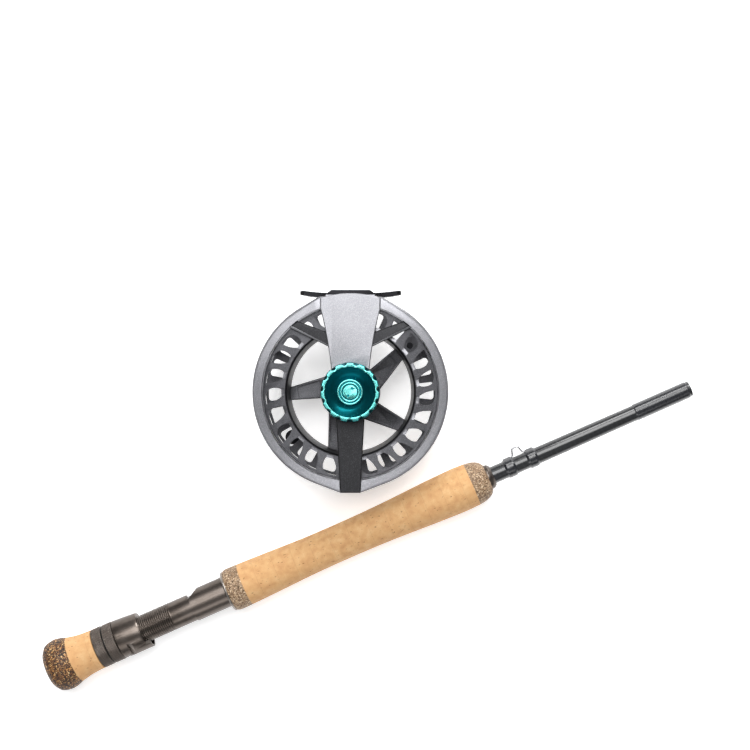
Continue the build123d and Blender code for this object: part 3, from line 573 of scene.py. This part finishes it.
@dataclass
class Builder:
    """Makes pieces, dresses them and puts them on their bodies."""

    materials: dict[str, bpy.types.Material]

    def lathe(self, name: str, place: Place, profile: list[tuple[float, float]], edge: float = 0.0,
              closed: bool = True, segments: int = 96, shape: Optional[Shape] = None) -> bpy.types.Object:
        """Surface of revolution: a profile of radius and height carried once round the place's z axis.

        Args:
            name: Object name.
            place: Where the axis stands.
            profile: Radius and height in millimetres.
            edge: Setback of rounded corners, or none at zero.
            closed: Whether the profile is a closed loop. Else it starts and ends on the axis.
            segments: Steps round the axis.
            shape: Changes the radius from angle, radius and height grids, such as for a thread.

        Returns:
            The object.
        """
        points = np.array(profile, float)
        if edge:
            points = rounded(points, edge, closed)
        angle = np.linspace(0, 2 * np.pi, segments, endpoint=False)[None, :] + np.zeros((len(points), 1))
        radius = points[:, :1] + np.zeros_like(angle)
        height = points[:, 1:] + np.zeros_like(angle)
        if shape is not None:
            radius = shape(angle, radius, height)
        local = np.stack([radius * np.cos(angle), radius * np.sin(angle), height], -1)
        return grid_piece(name, place.to_row(local), closed)

    def softened(self, name: str, node: str, width: float) -> bpy.types.Object:
        """Copy of a CAD node with its triangles merged into faces and its sharp edges broken.

        Args:
            name: Object name.
            node: CAD node that is copied.
            width: Width of the broken edge, millimetres.

        Returns:
            The object.
        """
        piece = finished_piece(name, frame["nodes"][node].data.copy(), 2e-6, math.radians(0.6))
        bevel = piece.modifiers.new("broken_edges", "BEVEL")
        bevel.width = width * MM
        bevel.segments = 2
        bevel.limit_method = "ANGLE"
        bevel.angle_limit = math.radians(BREAK_ANGLE)
        bevel.harden_normals = True
        bevel.use_clamp_overlap = True
        return piece

    def fit(self, piece: bpy.types.Object, body: str, slot: str, *nodes: str, finish: str = "") -> None:
        """Dress a piece, put it on its body, and let it stand for CAD nodes.

        Args:
            piece: The object.
            body: CAD body that it rides on.
            slot: Material slot of the record.
            nodes: CAD nodes that the piece replaces.
            finish: Name of its finish, where that isn't the slot's.
        """
        piece.data.materials.clear()
        piece.data.materials.append(self.materials[finish or slot])
        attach(piece, body)
        if nodes:
            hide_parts(*nodes)
        LOG.info("%s: %d faces on %s, %s", piece.name, len(piece.data.polygons), body, slot)

    def dress(self) -> None:
        """Give every CAD node that still shows the finish of its material slot."""
        for subpart in frame["record"]["subparts"]:
            node = frame["nodes"][subpart["node"]]
            material = self.materials[subpart["material_slot"]]
            for slot in node.material_slots:
                slot.material = material
            if not node.material_slots:
                node.data.materials.append(material)


# ---- rod ----


@dataclass
class Butt:
    """Fighting butt: burl cap and a plain cork ring."""

    build: Builder
    place: Place
    radius: float = 16.45
    cap_end: float = 17.0
    cork_end: float = 33.0
    bore_start: float = 8.0

    def make(self) -> None:
        """Turn both pieces."""
        flare = flowing([(12.4, 0.9), (15.3, 3.6), (self.radius, 9.0), (15.9, 13.0), (14.55, self.cap_end)])
        heel = flowing([(0.0, 0.0), (6.0, 0.0), (10.6, 0.05), (12.4, 0.9)], 4)[:-1]
        inside = [(BORE, self.cap_end), (BORE, self.bore_start), (0.0, self.bore_start)]
        cap = self.build.lathe("butt_cap_burl", self.place, heel + flare + inside, closed=False,
                               segments=160, shape=self.pitted)
        self.build.fit(cap, "rod", "burl_cork", "butt_cap")
        side = flowing([(14.55, self.cap_end), (13.45, 22.0), (12.8, 27.5), (12.55, self.cork_end)])
        side += [(BORE, self.cork_end), (BORE, self.cap_end)]
        ring = self.build.lathe("butt_cork_ring", self.place, side)
        self.build.fit(ring, "rod", "cork", "butt_cork")

    def pitted(self, angle: np.ndarray, radius: np.ndarray, height: np.ndarray) -> np.ndarray:
        """Sanded granules stand out unevenly: crossed waves, up to 0.1 mm inward, on the outside only."""
        crossed = np.sin(angle * 31 + height * 2.1) * np.sin(height * 3.7 - angle * 17)
        wave = crossed + np.sin(angle * 53 - height * 5.2)
        outside = np.clip((radius - 12.0) / 2.0, 0, 1)
        return radius - 0.05 * outside * (1 + wave / 2)


@dataclass
class Seat:
    """Up-locking reel seat: threaded barrel, two lock rings, sliding hood, fixed hood and flange."""

    build: Builder
    place: Place
    start: float = 33.0
    thread_end: float = 85.0
    pocket_start: float = 97.0
    hood_start: float = 98.6
    end: float = 122.2
    flange_end: float = 123.6
    rear_ring: tuple[float, float, float] = (33.3, 39.9, 12.6)      # first and last station, radius
    front_ring: tuple[float, float, float] = (40.5, 47.3, 12.5)
    washer: float = 11.6
    barrel: float = 8.65
    crest: float = 8.8
    root: float = 8.35
    pitch: float = 1.3
    under_hood: float = 8.3
    bore: float = 6.2
    flat: float = 6.8
    gap: float = 0.06
    knurls: int = 60            # a fine diamond knurl, drawn at about twice its real pitch so that it shows
    knurl_depth: float = 0.28
    land: float = 0.22          # half width of a knurl's flat top, as a share of the pitch

    def make(self) -> None:
        """Turn the barrel, rings and flange, and break the hoods' edges."""
        build, place = self.build, self.place
        threaded = np.arange(self.start, self.thread_end, self.pitch / 8)
        outside = [(self.barrel, float(z)) for z in threaded] + [(self.barrel, self.thread_end)]
        outside += [(self.barrel, self.pocket_start - 0.01), (self.barrel, self.pocket_start)]
        outside += [(self.barrel, self.hood_start), (self.under_hood, self.hood_start),
                    (self.under_hood, self.end)]
        inside = [(self.bore, self.end), (self.bore, self.start)]
        barrel = build.lathe("seat_barrel_tube", place, outside + inside, segments=144, shape=self.threaded)
        build.fit(barrel, "rod", "gunmetal", "seat_barrel")
        for node, body, ring in (("rear_lock_ring", "rear_ring", self.rear_ring),
                                 ("front_lock_ring", "front_ring", self.front_ring)):
            build.fit(self.knurled(node + "_knurled", *ring), body, "gunmetal", node)
        inner, low, high = self.crest + self.gap, self.rear_ring[1], self.front_ring[0]
        section = [(inner, low), (self.washer, low), (self.washer, high), (inner, high)]
        washer = build.lathe("ring_gap_washer", place, section, 0.2)
        build.fit(washer, "ring_washer", "rubber", "lock_washer")
        for name, node, width, body in (("sliding_hood_sleeve", "sliding_hood", 0.22, "hood"),
                                        ("fixed_hood_sleeve", "fixed_hood", 0.18, "rod")):
            build.fit(build.softened(name, node, width), body, "gunmetal", node)
        side = [(BORE, self.end), (12.6, self.end), (13.0, 122.9), (12.6, self.flange_end),
                (BORE, self.flange_end)]
        build.fit(build.lathe("seat_flange_ring", place, side, 0.15), "rod", "bright_ring", "seat_flange")

    def threaded(self, angle: np.ndarray, radius: np.ndarray, height: np.ndarray) -> np.ndarray:
        """One-start thread and a flat.

        The thread is a clipped triangle wave of height over pitch minus turns, faded out over its last pitch.
        The flat limits the radius to its distance over the sine of the angle, on the reel's side.
        """
        turns = np.mod(height / self.pitch - angle / (2 * np.pi), 1.0)
        wave = np.clip((1 - np.abs(2 * turns - 1) - 0.15) / 0.5, 0, 1)
        lead_in = np.clip((height - self.start) / 0.4, 0, 1)
        depth = np.clip((self.thread_end - height) / self.pitch, 0, 1) * lead_in
        cut = self.barrel + (self.root + (self.crest - self.root) * wave - self.barrel) * depth
        radius = np.where(radius > self.bore + 1, np.where(height <= self.thread_end, cut, radius), radius)
        limit = self.flat / np.maximum(np.sin(angle), 0.05)
        return np.where(height >= self.pocket_start, np.minimum(radius, limit), radius)

    def knurled(self, name: str, low: float, high: float, radius: float) -> bpy.types.Object:
        """Lock ring: a chamfered ring whose outside carries two crossed sets of helical grooves."""
        bore = self.crest + self.gap
        edge = 0.45
        face = [(bore, low), (radius - edge - 1.1, low), (radius - edge, low),
                (radius - edge / 3, low + edge / 2)]
        back = [(r, low + high - z) for r, z in reversed(face)]
        stations = np.linspace(low + edge, high - edge, 34)
        outside = [(radius, float(z)) for z in stations]

        def grooves(angle: np.ndarray, grid: np.ndarray, height: np.ndarray) -> np.ndarray:
            """Diamond knurl: the deeper of two helical triangle grooves at each point."""
            lean = (height - low) / (2 * np.pi * radius) * self.knurls
            first = np.abs(np.mod(angle / (2 * np.pi) * self.knurls + lean, 1.0) - 0.5)
            second = np.abs(np.mod(angle / (2 * np.pi) * self.knurls - lean, 1.0) - 0.5)
            groove = np.maximum(np.maximum(first, second) - self.land, 0) / (0.5 - self.land)
            return np.where(grid > radius - 0.02, grid - self.knurl_depth * groove, grid)

        return self.build.lathe(name, self.place, face + outside + back, segments=self.knurls * 6,
                                shape=grooves)


@dataclass
class Grip:
    """Full-wells grip: burl ring, cork, burl front, winding check."""

    build: Builder
    place: Place
    start: float = 123.6
    cork_start: float = 134.0
    cork_end: float = 290.0
    end: float = 301.0
    check_end: float = 304.5

    def make(self) -> None:
        """Turn the four pieces."""
        start, first, last, end = self.start, self.cork_start, self.cork_end, self.end
        rear = flowing([(12.75, start), (13.55, 126.0), (13.55, 131.0), (13.45, first)])
        self.turn("rear_burl_ring", "rear_trim", "light_burl", rear, start, 144)
        stations = [(13.45, first), (12.9, 150.0), (11.6, 185.0), (11.8, 225.0), (13.4, 262.0), (14.0, 280.0),
                    (13.75, last)]
        self.turn("cork_grip", "grip_cork", "cork", flowing(stations, 10), first, 128)
        nose = flowing([(13.75, last), (12.9, 295.0), (10.9, 299.2), (8.4, end)])
        self.turn("front_burl_ring", "front_trim", "light_burl", nose, last, 144)
        check = [(7.9, end), (7.9, 301.9), (7.65, 302.05), (7.65, 302.3), (7.9, 302.45), (7.2, 303.5),
                 (6.2, self.check_end)]
        section = [(BORE, end)] + check + [(BORE, self.check_end)]
        ring = self.build.lathe("winding_check_ring", self.place, section, 0.12)
        self.build.fit(ring, "rod", "gunmetal", "winding_check")

    def turn(self, name: str, node: str, slot: str, side: list[tuple[float, float]], low: float,
             segments: int) -> None:
        """Turn a piece with the blank's bore.

        Args:
            name: Object name.
            node: CAD node that it replaces.
            slot: Material slot.
            side: Its outside, from the low station up.
            low: First station.
            segments: Steps round the axis.
        """
        section = side + [(BORE, side[-1][1]), (BORE, low)]
        piece = self.build.lathe(name, self.place, section, segments=segments)
        self.build.fit(piece, "rod", slot, node)


@dataclass
class BlankTube:
    """Carbon blank with its ferrule, and the thread wrappings of the ferrule and the hook keeper."""

    build: Builder
    place: Place
    radius: float = BORE
    tip: float = 4.9
    inner: float = 3.5
    socket: float = 3.9
    start: float = 8.0
    taper_start: float = 301.0
    ferrule: float = 402.0
    end: float = 440.0
    thread: float = 0.3         # winding thread is near 0.15 mm, drawn at twice that

    def make(self) -> None:
        """Turn the tube and its three wrappings."""
        build, place = self.build, self.place
        outside = [(self.radius, self.start), (self.radius, self.taper_start), (self.tip, self.ferrule),
                   (self.tip, self.end)]
        inside = [(self.socket, self.end), (self.socket, self.ferrule), (self.inner, self.ferrule),
                  (self.inner, self.start)]
        build.fit(build.lathe("carbon_blank", place, outside + inside, 0.15), "rod", "graphite", "rod_blank")
        self.wrapping("keeper_wrapping_rear", "keeper_wrap_rear", 313.0, 320.0, 0.7, 0.55)
        self.wrapping("keeper_wrapping_front", "keeper_wrap_front", 328.0, 335.0, 0.7, 0.55)
        self.wrapping("ferrule_wrapping", "ferrule_wrap", self.ferrule, self.end - 1.5, 0.35, 0.0)

    def wrapping(self, name: str, node: str, low: float, high: float, height: float, hump: float) -> None:
        """Thread wound side by side: a half-round ripple at its pitch, with a hump over a wire's foot.

        Args:
            name: Object name.
            node: CAD node that it replaces.
            low: First station.
            high: Last station.
            height: Thickness over the blank.
            hump: Extra height on the reel's side, over the wire.
        """
        share = lambda z: np.clip((z - self.taper_start) / (self.ferrule - self.taper_start), 0, 1)
        blank = lambda z: self.radius + (self.tip - self.radius) * share(z)
        stations = np.arange(low, high + 0.01, self.thread / 4)
        cover = np.minimum(1.0, np.minimum(stations - low, high - stations) / (height * 2) + 0.05)
        outside = [(float(r), float(z)) for r, z in zip(blank(stations) + height * cover, stations)]
        inside = [(float(blank(high)) - 0.1, high), (float(blank(low)) - 0.1, low)]

        def ripple(angle: np.ndarray, radius: np.ndarray, z: np.ndarray) -> np.ndarray:
            """Half-round threads, and a bell-shaped hump centred a quarter turn round."""
            over = np.clip((radius - blank(z)) / height, 0, 1)
            threads = 0.04 * np.abs(np.sin(np.pi * (z / self.thread - angle / (2 * np.pi))))
            bell = hump * np.exp(-(((angle - np.pi / 2) / 0.2) ** 2))
            return radius + over * (threads + bell)

        piece = self.build.lathe(name, self.place, outside + inside, shape=ripple)
        self.build.fit(piece, "rod", "wrap", node)


# ---- reel ----


@dataclass
class Cage:
    """Reel frame: rings, pillars, foot block and foot, the upper arm's plate and the spider."""

    build: Builder
    place: Place
    chamfer: float = 0.7
    level: float = 0.99         # upward part of a level face's normal, at least
    steep: float = 0.9          # upward part of a steeper face's normal, at most
    turned_down: float = 0.3    # part of its normal away from the foot, at least
    above_hub: float = 0.012    # metres from the axis towards the foot, at least
    beside_arm: float = 0.008   # metres to either side of the axis, at least

    def make(self) -> None:
        """Break the edges of each machined piece."""
        pieces = (
            ("cage_back_ring", "reel_frame", "frame_grey", "", 0.2),
            ("cage_front_ring", "cage_ring", "frame_grey", "", 0.25),
            ("cage_pillar_set", "cage_pillars", "frame_grey", "", 0.5),
            ("foot_mounting_block", "foot_block", "frame_grey", "", 0.3),
            # The upper arm's plate takes the lighter grey, a painted highlight.
            ("upper_arm_plate", "top_arm", "frame_grey", "arm_grey_painted_highlight", 0.15),
            # The spider takes the darker charcoal, painted shade for its sides under the plate.
            ("arm_spider", "hub_spider", "charcoal", "charcoal_painted_shade", 0.2),
            ("saddle_foot", "reel_foot", "black_anodised", "", 0.2),
        )
        for name, node, slot, finish, width in pieces:
            piece = self.build.softened(name, node, width)
            self.build.fit(piece, "frame", slot, node, finish=finish)
            if node == "hub_spider":
                self.cut_bright_edges(piece)

    def cut_bright_edges(self, spider: bpy.types.Object) -> None:
        """Chamfer the braces' lower top edges in a light, bright metal.

        An edge is one of them when it joins a level face to a steeper one that faces away from the foot, and
        lies on the foot's side of the hub and beside the upper arm.

        Args:
            spider: The spider's piece, whose first bevel then cuts the marked edges alone.
        """
        spider.data.materials.append(self.build.materials["bright_edge"])
        down, across = -np.array(self.place.y), np.array(self.place.x)
        origin = np.array(self.place.origin)
        edit = bmesh.new()
        edit.from_mesh(spider.data)
        marks = edit.edges.layers.float.new("bevel_weight_edge")
        for edge in edit.edges:
            normals = [np.array(face.normal) for face in edge.link_faces]
            middle = np.array(edge.verts[0].co + edge.verts[1].co) / 2 - origin
            level = any(normal[2] > self.level for normal in normals)
            facing = any(normal[2] < self.steep and normal @ down > self.turned_down for normal in normals)
            beside = -middle @ down > self.above_hub and abs(middle @ across) > self.beside_arm
            edge[marks] = float(level and facing and beside)
        edit.to_mesh(spider.data)
        edit.free()
        cut = spider.modifiers.new("bright_chamfer", "BEVEL")
        cut.limit_method = "WEIGHT"
        cut.width = self.chamfer * MM
        cut.segments = 1
        cut.material = 1
        spider.modifiers.move(len(spider.modifiers) - 1, 0)


@dataclass
class Drag:
    """Drag knob with scalloped rim, dish, boss and its spanner disc, and the springs that it presses."""

    build: Builder
    place: Place
    scallops: int = 15
    first: float = 5.5
    orbit: float = 18.35
    cutter: float = 2.1
    land_low: float = 66.0
    land_level: float = 0.9     # upward part of a land's normal, at least
    spring_seat: float = 44.7
    spring_keep: float = 0.66
    base_top: float = 58.6
    full_cut: float = 62.6
    flank: float = 17.75
    top: float = 70.0
    dish: float = 15.1
    blend: float = 0.12

    def make(self) -> None:
        """Turn the knob, break the disc's edges, and dress the springs on the frame."""
        flank = [(0.0, 44.9), (4.0, 44.9), (4.0, 57.5), (17.3, 57.5), (17.75, 57.7), (17.9, 58.1)]
        wall = [(self.flank, float(z)) for z in np.linspace(self.base_top, 68.9, 24)]
        rim = [(17.72, 69.2), (17.6, 69.55), (17.45, 69.82), (17.25, 69.96), (17.0, self.top),
               (16.2, self.top), (15.5, self.top), (15.25, 69.97), (15.12, 69.86)]
        bowl = flowing([(15.02, 69.7), (13.3, 67.6), (11.2, 65.7), (9.3, 64.5), (7.9, 63.85)], 8)
        boss = [(7.82, 63.95), (7.8, 64.3), (7.8, 66.75), (7.7, 67.0), (7.5, 67.12), (6.95, 67.15),
                (6.8, 67.1), (6.7, 66.9), (6.65, 65.6), (5.95, 65.6), (5.9, 66.9), (5.8, 67.05),
                (5.65, 67.1), (5.2, 67.1), (5.05, 67.05), (4.98, 66.9), (4.95, 65.4), (4.5, 65.4),
                (4.5, 63.2), (0.0, 63.2)]
        section = flank + wall + rim + bowl + boss
        knob = self.build.lathe("drag_knob_dished", self.place, section, closed=False,
                                segments=self.scallops * 32, shape=self.scalloped)
        disc = self.build.softened("spanner_disc", "knob_cap", 0.1)
        for piece, node in ((knob, "drag_knob"), (disc, "knob_cap")):
            self.build.fit(piece, "knob", "teal", node)
            # The knob's and the disc's level lands take the lighter teal, a painted highlight.
            self.paint_land_highlight(piece)
        springs = finished_piece("spring_washer_pair", frame["nodes"]["disc_springs"].data.copy(), 2e-6)
        self.build.fit(springs, "frame", "steel", "disc_springs")
        seat = tuple(self.place.to_row(np.array([0.0, 0.0, self.spring_seat])).tolist())
        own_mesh(springs)

    def paint_land_highlight(self, piece: bpy.types.Object) -> None:
        """Give the upward-facing level lands of the rim, the boss and the disc a lighter, smoother teal: the
        lighter colour is a painted highlight for the overhead light's reflection.
        """
        mesh = piece.data
        mesh.materials.append(self.build.materials["teal_land_painted_highlight"])
        level = face_values(mesh, "normal")[:, 2] > self.land_level
        lands = level & (face_values(mesh, "center")[:, 2] / MM > self.land_low)
        mesh.polygons.foreach_set("material_index", lands.astype(np.int32))

    def scalloped(self, angle: np.ndarray, radius: np.ndarray, height: np.ndarray) -> np.ndarray:
        """Rim cut by round cutters on an orbit.

        Along each direction the cut starts at orbit times the cosine of the angle from the nearest cutter,
        less the chord's half length. The smaller of that and the radius is taken, with a short round
        between them. The cut runs out towards the base, so that its floor is a steep slope.
        """
        pitch = 2 * np.pi / self.scallops
        off = np.mod(angle - math.radians(self.first) + pitch / 2, pitch) - pitch / 2
        half = self.cutter**2 - (self.orbit * np.sin(off)) ** 2
        cut = np.where(half > 0, self.orbit * np.cos(off) - np.sqrt(np.maximum(half, 0)), self.orbit * 1.2)
        runout = np.clip((self.full_cut - height) / (self.full_cut - self.base_top), 0, 1)
        cut = cut - np.maximum(self.flank - radius, 0) * 0.5 + runout**1.5 * 2.2
        overlap = np.maximum(self.blend - np.abs(radius - cut), 0) / self.blend
        both = np.minimum(radius, cut) - overlap**2 * self.blend / 4
        cutting = (height > self.base_top - 0.1) & (radius > self.dish + 0.2)
        return np.where(cutting, both, radius)


@dataclass
class Spool:
    """Ported spool with arbor, spokes and cap, the counterweight and the handle."""

    build: Builder
    place: Place
    orbit: float = 46.5
    handle_turn: float = 38.0
    pocket_floor: float = 49.4
    grooves: tuple[float, float, float] = (8.5, 11.0, 13.5)
    groove_depth: float = 0.25

    def make(self) -> None:
        """Turn the arbor, cap, weight and handle, and break the ported flanges' edges."""
        build, place = self.build, self.place
        wall = [(37.5, 21.0), (39.9, 21.0), (39.9, 50.4), (39.7, 50.4), (38.7, 48.8)]
        arbor = build.lathe("arbor_wall", place, wall, 0.08, segments=180)
        # The arbor wall takes the darker charcoal, painted shade inside the spool.
        build.fit(arbor, "spool", "charcoal", "spool_arbor", finish="charcoal_painted_shade")
        for name, node, width in (("back_ported_flange", "spool_back_flange", 0.22),
                                  ("front_ported_flange", "spool_front_flange", 0.22),
                                  ("spool_hub_sleeve", "spool_hub", 0.2),
                                  ("spool_spoke_set", "spool_spokes", 0.2)):
            piece = build.softened(name, node, width)
            build.fit(piece, "spool", "charcoal", node)
            if node == "spool_back_flange":
                self.brighten_pockets(piece)
        cap = [(0.0, 18.6), (12.0, 18.6), (14.0, 19.6), (14.6, 21.0), (0.0, 21.0)]
        front = build.lathe("spool_front_cap", place, cap, 0.4, closed=False)
        build.fit(front, "spool", "charcoal", "spool_cap")
        turn = math.radians(self.handle_turn)
        x, y = self.orbit * math.cos(turn), self.orbit * math.sin(turn)
        weight = [(0.0, 15.6), (3.8, 15.6), (4.6, 16.4), (4.6, 21.0), (0.0, 21.0)]
        balance = build.lathe("balance_weight", place.moved(-x, -y), weight, 0.3, closed=False)
        build.fit(balance, "spool", "black_anodised", "counterweight")
        side = flowing([(6.1, 0.9), (6.5, 2.6), (5.7, 8.0), (5.0, 13.5), (5.4, 18.2), (5.0, 19.5)], 8)
        bore = [(2.05, 19.5), (2.05, 2.0), (3.2, 2.0), (3.2, 0.0), (5.2, 0.0), (5.8, 0.25)]
        knob = build.lathe("handle_grip", place.moved(x, y), side + bore, shape=self.grooved)
        build.fit(knob, "handle", "polymer", "handle_knob")
        for name, node, width, slot in (("handle_post", "handle_pin", 0.15, "black_anodised"),
                                        ("handle_end_screw", "handle_screw", 0.12, "steel")):
            build.fit(build.softened(name, node, width), "spool", slot, node)

    def brighten_pockets(self, flange: bpy.types.Object) -> None:
        """Give the flat floors of the port necks the lighter frame grey, picked out by their height."""
        mesh = flange.data
        mesh.materials.append(self.build.materials["frame_grey"])
        floors = np.abs(face_values(mesh, "center")[:, 2] / MM - self.pocket_floor) < 0.05
        mesh.polygons.foreach_set("material_index", floors.astype(np.int32))

    def grooved(self, angle: np.ndarray, radius: np.ndarray, height: np.ndarray) -> np.ndarray:
        """Three shallow finger grooves round the waist: each a bell curve in height, on the outside only."""
        depth = sum(np.exp(-(((height - middle) / 0.35) ** 2)) for middle in self.grooves)
        return np.where(radius > 4.0, radius - self.groove_depth * depth, radius)


# ---- stage ----


@dataclass
class Studio:
    """Camera straight overhead, a pale floor and large soft lights."""

    reel: Place
    height: float = 0.999
    lens: float = 74.9
    aim: tuple[float, float] = (0.042, 0.0192)
    floor_half: float = 20.0
    glow: float = 0.48          # the floor is an opal table lit a little from below
    sky: float = 0.2

    def make(self) -> None:
        """Build the floor, the camera, the lights and the world's light."""
        self.floor()
        self.camera()
        for name, shift, size, power in (("overhead_softbox", (-0.12, 0.50, 1.45), (1.1, 0.9), 20.5),
                                         ("low_strip", (0.30, 1.2, 0.78), (1.2, 0.40), 17.0),
                                         ("front_fill", (-0.1, -1.1, 0.95), (1.3, 0.5), 5.5)):
            self.light(name, shift, size, power)
        world = bpy.data.worlds.new("pale_room")
        world.use_nodes = True
        background = world.node_tree.nodes["Background"]
        background.inputs[0].default_value = linear("f2f4f6")
        background.inputs[1].default_value = self.sky
        bpy.context.scene.world = world
        bpy.context.scene.view_settings.view_transform = "Standard"

    def floor(self) -> None:
        """Plain pale floor at height zero."""
        half = self.floor_half
        mesh = bpy.data.meshes.new("floor")
        corners = [(-half, -half, 0), (half, -half, 0), (half, half, 0), (-half, half, 0)]
        mesh.from_pydata(corners, [], [(0, 1, 2, 3)])
        shader = Shader("matt_paper")
        mesh.materials.append(shader.set(Base_Color=linear("f6f6f6"), Roughness=0.9, Specular_IOR_Level=0.1,
                                         Emission_Color=linear("fbfbfb"), Emission_Strength=self.glow))
        floor = bpy.data.objects.new("floor", mesh)
        bpy.context.scene.collection.objects.link(floor)

    def camera(self) -> None:
        """Camera that looks straight down, with the reel's foot at the top of its view."""
        data = bpy.data.cameras.new("overhead_camera")
        data.lens = self.lens
        camera = bpy.data.objects.new("overhead_camera", data)
        camera.location = (*self.aim, self.height)
        camera.rotation_euler = (0.0, 0.0, math.atan2(self.reel.x[1], self.reel.x[0]))
        bpy.context.scene.collection.objects.link(camera)
        bpy.context.scene.camera = camera

    def light(self, name: str, shift: tuple[float, float, float], size: tuple[float, float],
              power: float) -> None:
        """Rectangular soft light that faces the point the camera looks at.

        Args:
            name: Light name.
            shift: From that point to its middle along the reel's x, y and z, metres.
            size: Its two sides, metres.
            power: Watts.
        """
        data = bpy.data.lights.new(name, "AREA")
        data.shape = "RECTANGLE"
        data.size, data.size_y = size
        data.energy = power
        lamp = bpy.data.objects.new(name, data)
        right, up = np.array(self.reel.x), np.array(self.reel.y)
        target = np.array([*self.aim, 0.0])
        place = target + up * shift[1] + right * shift[0] + (0, 0, shift[2])
        back = (place - target) / np.linalg.norm(place - target)
        side = np.cross(up, back)
        side = side / np.linalg.norm(side)
        matrix = np.eye(4)
        matrix[:3] = np.stack([side, np.cross(back, side), back, place], 1)
        lamp.matrix_world = Matrix(matrix.tolist())
        bpy.context.scene.collection.objects.link(lamp)


def main() -> None:
    """Build each sub-assembly in order, then the stage."""
    logging.basicConfig(level=logging.INFO, format="%(name)s %(message)s")
    rod, reel = rod_place(), reel_place()
    materials = {slot: finish.make(reel) for slot, finish in FINISHES.items()}
    build = Builder(materials)
    build.dress()
    for part in (Butt(build, rod), Seat(build, rod), Grip(build, rod), BlankTube(build, rod),
                 Cage(build, reel), Drag(build, reel), Spool(build, reel)):
        part.make()
    Studio(reel).make()


if __name__ == "__main__":
    main()
